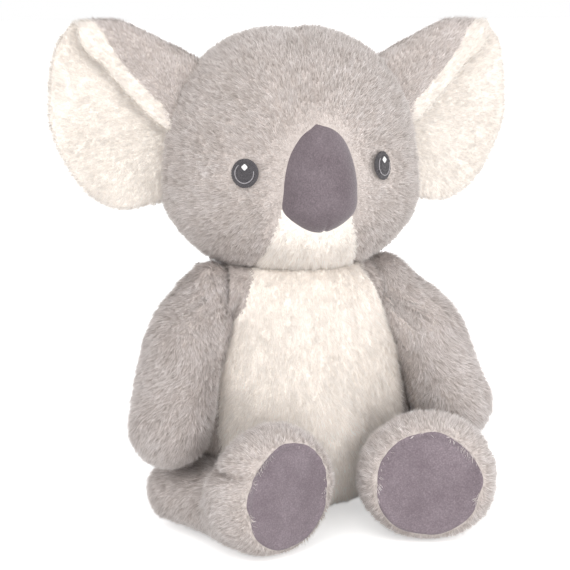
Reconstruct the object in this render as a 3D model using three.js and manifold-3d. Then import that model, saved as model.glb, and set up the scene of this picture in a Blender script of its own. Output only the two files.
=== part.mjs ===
// Plush koala, sitting: sewn cloth panels over stuffing. Millimetres, +Z up.
// It faces -Y, its own left is at +X, and the origin is the middle of the flat that its seat rests on.
// The head, ears, arms and legs are soft joints: a rounded root turns in a dimple of what carries it.
import * as THREE from "three";
import { mergeVertices } from "three/addons/utils/BufferGeometryUtils.js";
import Module from "manifold-3d";

// Cloth, seams and clearances
const PILE_CLOTH = 4; // backing with its pile pressed down
const SUEDE_CLOTH = 1.6; // short-nap cloth of the nose and soles
const SEAM_GAP = 0.3; // between two pieces that are sewn together or press on each other
const FILL_GAP = 0.4; // between the stuffing and its cover
const JOINT_GAP = 0.6; // between a rounded root and its dimple
const OVERRUN = 30; // how far a cutter runs past what it cuts
const WELD = 1e-4; // points closer than this are one
const FLAT_DEPTH = 0.5; // how much of a rounded underside is pressed flat

// Torso
const TORSO_HEIGHT = 150; // to the top that the head's seat cuts away
const TORSO_HALF_WIDTH = 62;
const TORSO_FRONT = 54;
const TORSO_BACK = 46;
const TORSO_FULL_POWER = 0.7; // below 1, it is fuller than an egg under its widest ring
const TORSO_WIDEST_SHARE = 0.3;
const BELLY_TOP_HALF = 27;
const BELLY_MID_HALF = 46;
const BELLY_LOW_HALF = 44;
const BELLY_MID_HEIGHT = 88;
const BELLY_LOW_HEIGHT = 10;
const SEAT_HALF_WIDTH = 31;
const SEAT_HALF_DEPTH = 29;
const SEAT_PANEL_HEIGHT = 14;
const POUCH_HALF_WIDTH = 36;
const POUCH_HALF_DEPTH = 30;
const POUCH_HEIGHT = 34;
const POUCH_WIDEST_SHARE = 0.5;

// Head, which looks a little to its own right
const HEAD_TURN = -4.5; // degrees
const NECK_BACK = 4; // the neck's axis, behind the middle of the seat
const HEAD_BOTTOM = 123.5;
const HEAD_HEIGHT = 120;
const HEAD_HALF_WIDTH = 63.5;
const HEAD_FRONT = 55.5;
const HEAD_BACK = 53;
const HEAD_WIDEST_SHARE = 0.47;
const HEAD_SEAT_RADIUS = 56; // the underside is round, so that it can turn in its seat
const HEAD_FULL_POWER = 0.75; // below 1, the head is fuller than an egg under its widest ring
const HEAD_ROUND_SHARE = 0.12; // of the height, up to which it is round
const FACE_SEAM_BACK = 4; // the seam between face and back of head, behind the head's middle
const CHIN_TOP_HALF = 13;
const CHIN_MID_HALF = 20;
const CHIN_LOW_HALF = 24;
const CHIN_TOP_DROP = 10; // below the head's middle
const CHIN_MID_DROP = 26;

// Nose and eyes
const NOSE_HALF_WIDTH = 18.5;
const NOSE_HEIGHT = 52;
const NOSE_BOTTOM_DROP = 34; // its lowest point, below the head's middle
const NOSE_PROUD = 9; // of the face
const NOSE_DEPTH = 20;
const NOSE_WIDEST_SHARE = 0.38;
const EYE_RADIUS = 6.9;
const EYE_OUT = 36;
const EYE_DROP = 6; // below the head's middle
const EYE_TURN = 34; // degrees off straight ahead
const EYE_THICKNESS = 1.4;
const EYE_PROUD = 0.9; // of the face

// Arms
const SHOULDER_OUT = 48;
const SHOULDER_FORWARD = 6;
const SHOULDER_HEIGHT = 112;
const SHOULDER_RADIUS = 21;
const ARM_LENGTH = 69; // from the shoulder's middle to the paw's middle
const ARM_SWELL = 24; // half-thickness between them
const ARM_BOW = 6; // how far it curves out between them
const PAW_RADIUS = 22.5;
const ARM_TURN = 42; // degrees: the arm points this far off straight ahead
const ARM_DROP = 55; // degrees below level
const ARM_LIFT = 65; // degrees

// Legs
const HIP_OUT = 62;
const HIP_FORWARD = 22;
const HIP_RADIUS = 24;
const HIP_HEIGHT = 36;
const LEG_LENGTH = 74; // from the hip's axis to the sole
const TOE_IN = 22; // degrees
const FOOT_HALF_WIDTH = 32;
const FOOT_HEIGHT = 64;
const FOOT_RIM = 14; // how far the foot rounds off to the sole
const FOOT_RIM_HALF = 25; // radius of the flat at the foot's end
const ANKLE_SHARE = 0.35; // of the leg's length, where it begins to widen to the foot
const SOLE_RADIUS = 24;
const SOLE_SUNK = 1.2; // below the foot's end
const LEG_SPLAY = 30; // degrees
const PAW_REST_REACH = 22.5; // from the hip's axis: how far the paw lies level on the leg
const PAW_REST_TOP = 78; // how high its underside has risen over the foot, at the leg's end

// Ears
const EAR_ROOT_OUT = 55;
const EAR_ROOT_BACK = 13;
const EAR_ROOT_RAISE = 17.5; // above the head's middle
const EAR_SWEEP = 3; // degrees: the ear stands this far back
const EAR_REACH = 70; // from its root to its outer edge
const EAR_HEIGHT = 100;
const EAR_THICKNESS = 17;
const EAR_DISH = 6; // the rim stands this far in front of the middle
const EAR_CURL = 16; // the upper rim by the head folds this far forward
const EAR_CLOTH = 3;
const EAR_FOLD = 12; // degrees, each way
const EAR_MIDDLE_SHARE = 0.4; // of the reach, where the ear's middle is
// The ear's outline as shares of its reach and height, from its outer edge over its top
const EAR_OUTLINE_SHARES = [
  [1, 0.11], [0.96, 0.38], [0.61, 0.5], [0.38, 0.42], [-0.1, 0.29],
  [-0.25, 0], [-0.15, -0.3], [0.1, -0.45], [0.36, -0.5], [0.9, -0.22],
];
const EAR_CURL_SHARES = { from: 0.05, to: 0.45, in: 0.75, out: 0.25 };

// How finely the forms are drawn
const AROUND = 20;
const RINGS = 10;
const LIMB_AROUND = 12;
const EAR_RINGS = 8;
const COARSE_AROUND = 12; // what the cover hides
const COARSE_RINGS = 6;
const FOLD_STEPS = 2; // places of each moving joint that its root is cut for
const LIFT_STEPS = 6;
const SPLAY_STEPS = 5;

const PILE_GREY = { color: 0xb9ada6, roughness: 1, metalness: 0 };
const PILE_WHITE = { color: 0xf6eee4, roughness: 1, metalness: 0 };
const SUEDE = { color: 0x83777c, roughness: 0.95, metalness: 0 };
const THREAD = { color: 0x3f3b3f, roughness: 0.6, metalness: 0 };
const STUFFING = { color: 0xf2f2f0, roughness: 1, metalness: 0 };
const POUCH_CLOTH = { color: 0xe6e2da, roughness: 0.9, metalness: 0 };

const wasm = await Module();
wasm.setup();

const radians = THREE.MathUtils.degToRad;
const smooth = THREE.MathUtils.smoothstep;
const mix = THREE.MathUtils.lerp;
const HEAD_MIDDLE = HEAD_BOTTOM + HEAD_HEIGHT / 2;
const UP = new THREE.Vector3(0, 0, 1);
const ACROSS = new THREE.Vector3(1, 0, 0);

// A closed geometry as a solid, with its faces pointing out.
function solid(geometry) {
  const bare = geometry.index ? geometry.toNonIndexed() : geometry.clone();
  bare.deleteAttribute("normal");
  bare.deleteAttribute("uv");
  const welded = mergeVertices(bare, WELD);
  const { array } = welded.attributes.position;
  const corner = (i) => new THREE.Vector3().fromArray(array, 3 * i);
  let triangles = [];
  let volume = 0;
  for (let i = 0; i < welded.index.count; i += 3) {
    const [a, b, c] = [0, 1, 2].map((k) => welded.index.getX(i + k));
    if (a === b || b === c || c === a) continue;
    triangles.push(a, b, c);
    volume += corner(a).dot(corner(b).cross(corner(c)));
  }
  if (volume < 0) triangles = triangles.reverse();
  const mesh = new wasm.Mesh({
    numProp: 3,
    vertProperties: Float32Array.from(array),
    triVerts: Uint32Array.from(triangles),
  });
  return new wasm.Manifold(mesh);
}

function node(name, cut, material) {
  const { vertProperties, triVerts } = cut.getMesh();
  const geometry = new THREE.BufferGeometry();
  geometry.setAttribute("position", new THREE.BufferAttribute(Float32Array.from(vertProperties), 3));
  geometry.setIndex(Array.from(triVerts));
  geometry.computeVertexNormals();
  const mesh = new THREE.Mesh(geometry, new THREE.MeshStandardMaterial(material));
  mesh.name = name;
  return mesh;
}

// What lies under the cover, set in from it, is drawn with fewer faces.
const aroundOf = (inset, fine = AROUND) => (inset > 0 ? COARSE_AROUND : fine);
const ringsOf = (inset) => (inset > 0 ? COARSE_RINGS : RINGS);

// A ball whose every point is placed by a function of the unit ball's point.
function ball(around, rings, place) {
  const geometry = new THREE.SphereGeometry(1, around, rings);
  const at = geometry.attributes.position;
  for (let i = 0; i < at.count; i += 1) {
    const placed = place(new THREE.Vector3().fromBufferAttribute(at, i));
    at.setXYZ(i, placed.x, placed.y, placed.z);
  }
  return geometry;
}

// Evenly spread turns of a joint, in degrees.
const turns = (low, high, steps) => Array.from({ length: steps + 1 }, (_, k) => mix(low, high, k / steps));

// A solid as it is seen from a moving piece's frame, in each given place of its joint.
function seenFrom(frame, cut, axis, places) {
  frame.updateWorldMatrix(true, false);
  const toPiece = frame.matrixWorld.clone().invert();
  const { vertProperties, triVerts } = cut.getMesh();
  let all = null;
  for (const place of places) {
    const turn = new THREE.Matrix4().makeRotationAxis(axis, radians(place));
    const geometry = new THREE.BufferGeometry();
    geometry.setAttribute("position", new THREE.BufferAttribute(Float32Array.from(vertProperties), 3));
    geometry.setIndex(Array.from(triVerts));
    const seen = solid(geometry.applyMatrix4(turn.multiply(toPiece)));
    all = all ? all.add(seen) : seen;
  }
  return all;
}

// An upright ball: the unit ball's height becomes a share of the form's height, widest where asked.
function upright(around, rings, widestShare, place) {
  return ball(around, rings, (unit) => {
    const height = unit.y;
    const share = height < 0 ? widestShare * (1 + height) : mix(widestShare, 1, height);
    return place(share, unit.x, -unit.z);
  });
}

// Everything on one side of a plane across an axis, big enough for any piece here.
const WORLD = 4 * (TORSO_HEIGHT + HEAD_HEIGHT);
function beyond(axis, place, side) {
  const box = new THREE.BoxGeometry(WORLD, WORLD, WORLD);
  const shift = new THREE.Vector3();
  shift[axis] = place + (side * WORLD) / 2;
  return solid(box.translate(shift.x, shift.y, shift.z));
}

// An outline in X and Z, run through from one depth to another.
function prism(points, front, back) {
  const outline = new THREE.Shape(points.map(([x, z]) => new THREE.Vector2(x, z)));
  const geometry = new THREE.ExtrudeGeometry(outline, { depth: back - front, bevelEnabled: false });
  return geometry.rotateX(Math.PI / 2).translate(0, back, 0);
}

// Torso

function torsoForm(inset) {
  const place = (share, across, deep) => {
    const [x, y] = fuller(across, deep, share < TORSO_WIDEST_SHARE, TORSO_FULL_POWER);
    return new THREE.Vector3(
      (TORSO_HALF_WIDTH - inset) * x,
      ((deep < 0 ? TORSO_FRONT : TORSO_BACK) - inset) * y,
      inset - FLAT_DEPTH + (TORSO_HEIGHT - 2 * inset) * share,
    );
  };
  return upright(aroundOf(inset), ringsOf(inset), TORSO_WIDEST_SHARE, place);
}

// A dimple's cutter is a little larger, so that its flat facets clear the round form in it.
const facetShare = (around) => 1 / Math.cos(Math.PI / around) ** 2;

// A form's half-widths at a ring, fuller than an egg's where it is below its widest ring.
function fuller(across, deep, below, power) {
  const round = Math.hypot(across, deep);
  const share = below && round > WELD ? round ** (power - 1) : 1;
  return [across * share, deep * share];
}

function headSeat(extra, around = LIMB_AROUND) {
  const radius = (HEAD_SEAT_RADIUS + extra) * facetShare(around);
  const place = (share, across, deep) => {
    const [x, y] = fuller(across, deep, share < HEAD_WIDEST_SHARE, HEAD_FULL_POWER);
    return new THREE.Vector3(radius * x, radius * y, HEAD_BOTTOM - extra + (HEAD_HEIGHT + 2 * extra) * share);
  };
  return upright(around, RINGS, HEAD_WIDEST_SHARE, place).translate(0, NECK_BACK, 0);
}

// A round root's dimple: a ball, or one of another height.
function dimple(radius, half, around, x, y, z) {
  const share = facetShare(around);
  return solid(new THREE.SphereGeometry(1, around, around / 2)
    .rotateX(Math.PI / 2)
    .scale(radius * share, radius * share, half * share)
    .translate(x, y, z));
}

// The torso's form, dimpled where the head, arms and legs root in it.
function torsoBody(inset) {
  const extra = JOINT_GAP + inset;
  const around = aroundOf(inset, LIMB_AROUND);
  const [shoulder, hip, hipHalf] = [SHOULDER_RADIUS, HIP_RADIUS, HIP_HEIGHT / 2].map((size) => size + extra);
  let body = solid(torsoForm(inset)).subtract(solid(headSeat(extra, around)));
  for (const side of [-1, 1]) {
    body = body
      .subtract(dimple(shoulder, shoulder, around, side * SHOULDER_OUT, -SHOULDER_FORWARD, SHOULDER_HEIGHT))
      .subtract(dimple(hip, hipHalf, around, side * HIP_OUT, -HIP_FORWARD, HIP_HEIGHT / 2 - FLAT_DEPTH));
  }
  return body.intersect(beyond("z", Math.max(0, inset), 1));
}

function bellyOutline(extra) {
  const [top, mid, low] = [BELLY_TOP_HALF, BELLY_MID_HALF, BELLY_LOW_HALF].map((half) => half + extra);
  const edge = new THREE.SplineCurve([
    new THREE.Vector2(low, BELLY_LOW_HEIGHT - OVERRUN),
    new THREE.Vector2(low, BELLY_LOW_HEIGHT),
    new THREE.Vector2(mid, BELLY_MID_HEIGHT),
    new THREE.Vector2(top, HEAD_BOTTOM),
    new THREE.Vector2(top, TORSO_HEIGHT + OVERRUN),
  ]).getPoints(COARSE_AROUND);
  const right = edge.map((at) => [at.x, at.y]);
  const left = edge.map((at) => [-at.x, at.y]).reverse();
  return prism([...right, ...left], -TORSO_FRONT - OVERRUN, 0);
}

function seatCutter(extra) {
  return new THREE.CylinderGeometry(1, 1, 1, AROUND)
    .rotateX(Math.PI / 2)
    .scale(SEAT_HALF_WIDTH + extra, SEAT_HALF_DEPTH + extra, 2 * SEAT_PANEL_HEIGHT);
}

function pouchForm(extra) {
  const place = (share, across, deep) => new THREE.Vector3(
    (POUCH_HALF_WIDTH + extra) * across,
    (POUCH_HALF_DEPTH + extra) * deep,
    (POUCH_HEIGHT + extra) * (2 * share - 1),
  );
  return upright(COARSE_AROUND, COARSE_RINGS, POUCH_WIDEST_SHARE, place);
}

function makeTorso() {
  const torso = new THREE.Group();
  const skin = torsoBody(0).subtract(torsoBody(PILE_CLOTH));
  const seat = solid(seatCutter(0));
  const belly = solid(bellyOutline(0));
  const aroundSeat = skin.subtract(solid(seatCutter(SEAM_GAP)));
  const back = aroundSeat.subtract(solid(bellyOutline(SEAM_GAP)));
  torso.add(node("seat_panel", skin.intersect(seat), PILE_GREY));
  torso.add(node("belly_panel", aroundSeat.intersect(belly), PILE_WHITE));
  torso.add(node("back_panel_left", back.intersect(beyond("x", SEAM_GAP / 2, 1)), PILE_GREY));
  torso.add(node("back_panel_right", back.intersect(beyond("x", -SEAM_GAP / 2, -1)), PILE_GREY));
  const inside = torsoBody(PILE_CLOTH + FILL_GAP);
  torso.add(node("bean_pouch", inside.intersect(solid(pouchForm(0))), POUCH_CLOTH));
  torso.add(node("torso_filling", inside.subtract(solid(pouchForm(FILL_GAP))), STUFFING));
  return torso;
}

// Head, built about the neck's axis

function headForm(inset) {
  const place = (share, across, deep) => {
    const spread = smooth(share, HEAD_ROUND_SHARE, HEAD_WIDEST_SHARE);
    const [x, y] = fuller(across, deep, share < HEAD_WIDEST_SHARE, HEAD_FULL_POWER);
    const depth = deep < 0 ? HEAD_FRONT : HEAD_BACK;
    return new THREE.Vector3(
      (mix(HEAD_SEAT_RADIUS, HEAD_HALF_WIDTH, spread) - inset) * x,
      (mix(HEAD_SEAT_RADIUS, depth, spread) - inset) * y,
      HEAD_BOTTOM + inset + (HEAD_HEIGHT - 2 * inset) * share,
    );
  };
  return upright(aroundOf(inset), ringsOf(inset), HEAD_WIDEST_SHARE, place);
}

function chinOutline(extra) {
  const [top, mid, low] = [CHIN_TOP_HALF, CHIN_MID_HALF, CHIN_LOW_HALF].map((half) => half + extra);
  const right = [
    [low, HEAD_BOTTOM - OVERRUN],
    [low, HEAD_BOTTOM],
    [mid, HEAD_MIDDLE - CHIN_MID_DROP],
    [top, HEAD_MIDDLE - CHIN_TOP_DROP + extra],
  ];
  const left = right.map(([x, z]) => [-x, z]).reverse();
  return prism([...right, ...left], -HEAD_FRONT - OVERRUN, 0);
}

function noseForm(inset) {
  const place = (share, across, deep) => new THREE.Vector3(
    (NOSE_HALF_WIDTH - inset) * across,
    NOSE_DEPTH - HEAD_FRONT - NOSE_PROUD + (NOSE_DEPTH - inset) * deep,
    HEAD_MIDDLE - NOSE_BOTTOM_DROP + inset + (NOSE_HEIGHT - 2 * inset) * share,
  );
  return upright(aroundOf(inset, LIMB_AROUND), ringsOf(inset), NOSE_WIDEST_SHARE, place);
}

function eyeForm(side) {
  const forward = HEAD_FRONT * Math.sqrt(1 - (EYE_OUT / HEAD_HALF_WIDTH) ** 2);
  return new THREE.SphereGeometry(1, LIMB_AROUND, COARSE_RINGS)
    .scale(EYE_RADIUS, EYE_THICKNESS + EYE_PROUD, EYE_RADIUS)
    .rotateZ(side * radians(EYE_TURN))
    .translate(side * EYE_OUT, -forward, HEAD_MIDDLE - EYE_DROP);
}

function makeHead() {
  const head = new THREE.Group();
  head.position.y = NECK_BACK;
  head.rotation.z = radians(HEAD_TURN);
  const outer = solid(headForm(0));
  const skin = outer.subtract(solid(headForm(PILE_CLOTH)));
  const grown = solid(headForm(-SEAM_GAP));
  const chin = solid(chinOutline(0));
  const face = skin.intersect(beyond("y", FACE_SEAM_BACK - SEAM_GAP, -1));
  const cheeks = face.subtract(solid(chinOutline(SEAM_GAP)));
  head.add(node("head_back_panel", skin.intersect(beyond("y", FACE_SEAM_BACK, 1)), PILE_GREY));
  head.add(node("face_panel_left", cheeks.intersect(beyond("x", SEAM_GAP / 2, 1)), PILE_GREY));
  head.add(node("face_panel_right", cheeks.intersect(beyond("x", -SEAM_GAP / 2, -1)), PILE_GREY));
  head.add(node("chin_panel", face.intersect(chin), PILE_WHITE));
  head.add(node("head_filling", solid(headForm(PILE_CLOTH + FILL_GAP)), STUFFING));
  const nose = solid(noseForm(0)).subtract(solid(noseForm(SUEDE_CLOTH)));
  head.add(node("nose_cover", nose.subtract(grown), SUEDE));
  head.add(node("nose_filling", solid(noseForm(SUEDE_CLOTH + FILL_GAP)).subtract(grown), STUFFING));
  for (const [name, side] of [["left", 1], ["right", -1]]) {
    head.add(node(`eye_${name}`, solid(eyeForm(side)).subtract(grown), THREAD));
  }
  return head;
}

// Ears: in an ear's own frame X runs out from the root, Y to the back, Z up

const earEdge = new THREE.CatmullRomCurve3(
  EAR_OUTLINE_SHARES.map(([out, up]) => new THREE.Vector3(out * EAR_REACH, 0, up * EAR_HEIGHT)),
  true,
);

// The ear's middle surface: how far it lies behind its root's plane at a place in its outline.
function earBow(x, z, fromMiddle) {
  const { from, to, in: inner, out } = EAR_CURL_SHARES;
  const up = smooth(z, from * EAR_HEIGHT, to * EAR_HEIGHT);
  const by = 1 - smooth(x, out * EAR_REACH, inner * EAR_REACH);
  return -EAR_DISH * fromMiddle ** 2 - EAR_CURL * up * by;
}

function earForm(inset, deep = (unit) => (EAR_THICKNESS / 2 - inset) * unit) {
  const middle = new THREE.Vector3(EAR_MIDDLE_SHARE * EAR_REACH, 0, 0);
  return ball(aroundOf(inset), inset > 0 ? COARSE_RINGS : EAR_RINGS, (unit) => {
    const turn = (Math.atan2(unit.z, unit.x) / (2 * Math.PI) + 1) % 1;
    const reach = earEdge.getPoint(turn).sub(middle);
    const fromMiddle = Math.hypot(unit.x, unit.z) * (1 - inset / reach.length());
    const at = middle.clone().addScaledVector(reach, fromMiddle);
    at.y = earBow(at.x, at.z, fromMiddle) + deep(unit.y);
    return at;
  });
}

// The space behind the ear's middle surface, or behind one that lies a little further back.
function behindEar(shift) {
  return solid(earForm(-EAR_THICKNESS, (unit) => shift + Math.max(0, unit) * OVERRUN));
}

function makeEar(name) {
  const ear = new THREE.Group();
  ear.position.set(EAR_ROOT_OUT, EAR_ROOT_BACK, HEAD_MIDDLE + EAR_ROOT_RAISE);
  ear.rotation.z = radians(EAR_SWEEP);
  const swept = seenFrom(ear, solid(headForm(-SEAM_GAP)), UP, turns(-EAR_FOLD, EAR_FOLD, 2 * FOLD_STEPS));
  const cover = solid(earForm(0)).subtract(solid(earForm(EAR_CLOTH))).subtract(swept);
  const wadding = solid(earForm(EAR_CLOTH + FILL_GAP)).subtract(swept);
  ear.add(node(`ear_front_${name}`, cover.subtract(behindEar(-SEAM_GAP / 2)), PILE_WHITE));
  ear.add(node(`ear_back_${name}`, cover.intersect(behindEar(SEAM_GAP / 2)), PILE_GREY));
  ear.add(node(`ear_wadding_${name}`, wadding, STUFFING));
  return ear;
}

// Arms: in an arm's own frame it hangs along -Z from the shoulder's middle

function armForm(inset) {
  const outline = new THREE.Path();
  outline.absarc(0, 0, SHOULDER_RADIUS - inset, Math.PI / 2, 0, true);
  outline.quadraticCurveTo(2 * ARM_SWELL - (SHOULDER_RADIUS + PAW_RADIUS) / 2 - inset, -ARM_LENGTH / 2,
    PAW_RADIUS - inset, -ARM_LENGTH);
  outline.absarc(0, -ARM_LENGTH, PAW_RADIUS - inset, 0, -Math.PI / 2, true);
  const points = outline.getPoints(COARSE_RINGS / 2);
  for (const end of [points[0], points[points.length - 1]]) end.x = 0;
  const geometry = new THREE.LatheGeometry(points, aroundOf(inset, LIMB_AROUND)).rotateX(Math.PI / 2);
  const at = geometry.attributes.position;
  for (let i = 0; i < at.count; i += 1) {
    const share = THREE.MathUtils.clamp(-at.getZ(i) / ARM_LENGTH, 0, 1);
    at.setY(i, at.getY(i) - ARM_BOW * Math.sin(Math.PI * share) ** 2);
  }
  return geometry;
}

// What the paw rests on: a turned form about the hip's axis, over all that the leg sweeps as it swings.
function legSweep() {
  const level = HIP_HEIGHT + SEAM_GAP;
  const points = [
    [0, -OVERRUN], [LEG_LENGTH, -OVERRUN], [LEG_LENGTH, PAW_REST_TOP], [PAW_REST_REACH, level], [0, level],
  ];
  return new THREE.LatheGeometry(points.map(([r, z]) => new THREE.Vector2(r, z)), LIMB_AROUND)
    .rotateX(Math.PI / 2)
    .translate(HIP_OUT, -HIP_FORWARD, 0);
}

function makeArm(name) {
  const shoulder = new THREE.Group();
  shoulder.position.set(SHOULDER_OUT, -SHOULDER_FORWARD, SHOULDER_HEIGHT);
  shoulder.rotation.z = radians(ARM_TURN);
  const arm = new THREE.Group();
  arm.rotation.x = -radians(90 - ARM_DROP);
  shoulder.add(arm);
  const rest = solid(legSweep()).add(solid(headSeat(SEAM_GAP)));
  const swept = seenFrom(arm, rest, ACROSS, [0])
    .add(seenFrom(arm, torsoBody(-SEAM_GAP), ACROSS, turns(0, ARM_LIFT, LIFT_STEPS)));
  const cover = solid(armForm(0)).subtract(solid(armForm(PILE_CLOTH))).subtract(swept);
  const filling = solid(armForm(PILE_CLOTH + FILL_GAP)).subtract(swept);
  arm.add(node(`arm_outer_panel_${name}`, cover.intersect(beyond("x", SEAM_GAP / 2, 1)), PILE_GREY));
  arm.add(node(`arm_inner_panel_${name}`, cover.intersect(beyond("x", -SEAM_GAP / 2, -1)), PILE_GREY));
  arm.add(node(`arm_filling_${name}`, filling, STUFFING));
  return shoulder;
}

// Legs: in a leg's own frame it lies along -Y from the hip's axis

function footShare(along) {
  return smooth(along, ANKLE_SHARE * LEG_LENGTH, LEG_LENGTH - FOOT_RIM);
}

function legTop(along) {
  return mix(HIP_HEIGHT, FOOT_HEIGHT, footShare(along));
}

function legForm(inset) {
  const stations = [];
  const steps = COARSE_RINGS;
  const profile = new THREE.Path();
  profile.absarc(0, 0, 1, Math.PI, Math.PI / 2, true);
  for (const at of profile.getPoints(steps / 2)) stations.push([at.x * (HIP_RADIUS - inset), at.y]);
  for (let step = 1; step < steps; step += 1) {
    stations.push([mix(0, LEG_LENGTH - FOOT_RIM, step / steps), 1]);
  }
  const rimShare = (FOOT_HALF_WIDTH - FOOT_RIM_HALF) / FOOT_HALF_WIDTH;
  for (let step = 0; step <= steps / 2; step += 1) {
    const angle = (Math.PI / 2) * (step / (steps / 2));
    const along = LEG_LENGTH - FOOT_RIM + (FOOT_RIM - inset) * Math.sin(angle);
    stations.push([along, 1 - rimShare * (1 - Math.cos(angle))]);
  }
  stations.push([LEG_LENGTH - inset, 0]);
  return ball(aroundOf(inset, LIMB_AROUND), stations.length - 1, (unit) => {
    const fromRear = Math.acos(THREE.MathUtils.clamp(unit.y, -1, 1)) / Math.PI;
    const [along, share] = stations[Math.round(fromRear * (stations.length - 1))];
    const round = Math.hypot(unit.x, unit.z);
    const [across, up] = round > WELD ? [unit.x / round, unit.z / round] : [0, 0];
    const wide = mix(HIP_RADIUS, FOOT_HALF_WIDTH, footShare(along)) - inset;
    const half = legTop(along) / 2;
    return new THREE.Vector3(
      wide * share * across,
      -along,
      half - FLAT_DEPTH + (half - inset) * share * up,
    );
  });
}

function soleCutter(radius, depth) {
  return new THREE.CylinderGeometry(radius, radius, 2 * depth, AROUND)
    .translate(0, -LEG_LENGTH, FOOT_HEIGHT / 2 - FLAT_DEPTH);
}

function makeLeg(name) {
  const leg = new THREE.Group();
  leg.position.set(HIP_OUT, -HIP_FORWARD, 0);
  leg.rotation.z = -radians(TOE_IN);
  const swept = seenFrom(leg, torsoBody(-SEAM_GAP), UP, turns(0, -LEG_SPLAY, SPLAY_STEPS));
  const above = beyond("z", 0, 1);
  const recess = solid(soleCutter(SOLE_RADIUS + SEAM_GAP, SOLE_SUNK + SUEDE_CLOTH + SEAM_GAP));
  const outer = solid(legForm(0)).subtract(recess).subtract(swept).intersect(above);
  const inner = solid(legForm(PILE_CLOTH)).intersect(beyond("z", PILE_CLOTH, 1));
  const cover = outer.subtract(inner);
  const filling = solid(legForm(PILE_CLOTH + FILL_GAP))
    .subtract(swept)
    .intersect(beyond("z", PILE_CLOTH + FILL_GAP, 1));
  const sole = solid(soleCutter(SOLE_RADIUS, SOLE_SUNK + SUEDE_CLOTH))
    .intersect(beyond("y", SOLE_SUNK - LEG_LENGTH, 1));
  const ankle = -ANKLE_SHARE * LEG_LENGTH;
  const halves = [["outer", beyond("x", SEAM_GAP / 2, 1)], ["inner", beyond("x", -SEAM_GAP / 2, -1)]];
  const parts = [["leg", beyond("y", ankle, 1)], ["foot", beyond("y", ankle - SEAM_GAP, -1)]];
  for (const [half, aside] of halves) {
    for (const [part, along] of parts) {
      leg.add(node(`${part}_${half}_panel_${name}`, cover.intersect(aside).intersect(along), PILE_GREY));
    }
  }
  leg.add(node(`leg_filling_${name}`, filling, STUFFING));
  leg.add(node(`sole_${name}`, sole, SUEDE));
  return leg;
}

// The right side is the left side's mirror image.
function pair(make) {
  const both = new THREE.Group();
  const mirrored = new THREE.Group();
  mirrored.scale.x = -1;
  mirrored.add(make("right"));
  both.add(make("left"), mirrored);
  return both;
}

const koala = new THREE.Group();
const head = makeHead();
head.add(pair(makeEar));
koala.add(makeTorso(), head, pair(makeArm), pair(makeLeg));

export default koala;
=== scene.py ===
import math

import bpy
import numpy as np
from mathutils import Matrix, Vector
from mathutils.bvhtree import BVHTree
from mathutils.kdtree import KDTree


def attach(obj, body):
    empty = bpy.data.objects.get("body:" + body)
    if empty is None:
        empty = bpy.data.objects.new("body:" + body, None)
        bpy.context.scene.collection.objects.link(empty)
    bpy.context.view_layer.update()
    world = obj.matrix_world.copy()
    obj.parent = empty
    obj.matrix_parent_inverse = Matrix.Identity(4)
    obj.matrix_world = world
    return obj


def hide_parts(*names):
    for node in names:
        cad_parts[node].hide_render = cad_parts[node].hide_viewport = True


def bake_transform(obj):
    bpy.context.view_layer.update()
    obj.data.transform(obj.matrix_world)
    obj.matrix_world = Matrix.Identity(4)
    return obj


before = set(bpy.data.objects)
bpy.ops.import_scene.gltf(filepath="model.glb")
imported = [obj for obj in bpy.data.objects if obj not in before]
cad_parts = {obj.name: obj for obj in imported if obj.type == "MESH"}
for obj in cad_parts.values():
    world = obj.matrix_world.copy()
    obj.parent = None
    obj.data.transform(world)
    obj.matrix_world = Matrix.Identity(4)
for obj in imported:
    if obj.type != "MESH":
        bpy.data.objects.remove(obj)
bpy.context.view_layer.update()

# A sitting plush koala. Forms are worked out in millimetres in the CAD's frame: it faces -Y, its own
# left is +X, and Z is up. A form is a closed skin of quads, and its pile is real strands that grow on it.
MM = 0.001
STRAND_SHARE = 1.0

# Cloth
# Each backing lies this far inside the pressed pile that the CAD's skin stands for
HEAD_INSET = 1.0
TORSO_INSET = 2.0
ARM_INSET = 3.4
LEG_INSET = 1.4
EAR_INSET = 0.6
THROUGH_SHARE = 0.35  # of the light on a strand comes through it
ROOT_DEPTH = 0.35  # of a strand under the backing
PRESSED_SHARE = 0.6  # of the pile is gone where a neighbour presses on it
BORDER_BLUR = 0.15  # of a border between two piles
CONTACT_GAP = 0.4  # between two skins that press on each other
SOCKET_GAP = 0.1  # between a limb's root and the hollow that it turns in
PUSH_REACH = 30.0  # how far a skin is looked for that pushes a point out
PRESS_REACH = 90.0  # and one that presses it along a way
RELAX_SHARE = 0.5  # of the way to its neighbours, in each round
FLOOR_CLEAR = 0.2
WAVES = 7  # are added up for soft hills and hollows

# Pile: its lengths, and each piece's strands and random seed
HEAD_PILE = 4.6
TORSO_PILE = 5.0
ARM_PILE = 5.2
LEG_PILE = 4.8
EAR_PILE = 3.6
PILES = {
    "head": (130000, 71), "chin": (10000, 72), "back": (70000, 73), "belly": (80000, 74),
    "arm": (52000, 80), "leg": (54000, 81), "ear_front": (36000, 84), "ear_back": (28000, 85),
}
RIGHT_SEED = 10  # is added on the koala's right
STRAND_WIDTH = 0.34
BELLY_STRAND_WIDTH = 0.28
STRAND_LEAN = 64.0  # degrees off the skin's normal
LEAN_SPREAD = (8.0, 5.0)  # degrees, between strands and between tufts
REACH_SPREAD = ((0.7, 1.12), (0.9, 1.08))  # the same for their lengths, as shares
TUFT_STRANDS = 8
TUFT_GATHER = 0.16  # of the way to the tuft's leading strand, at most
STRAND_STRAY = 0.13
STRAND_ROLL = 0.6  # a blade's turn about its own length, at most, in radians

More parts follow.
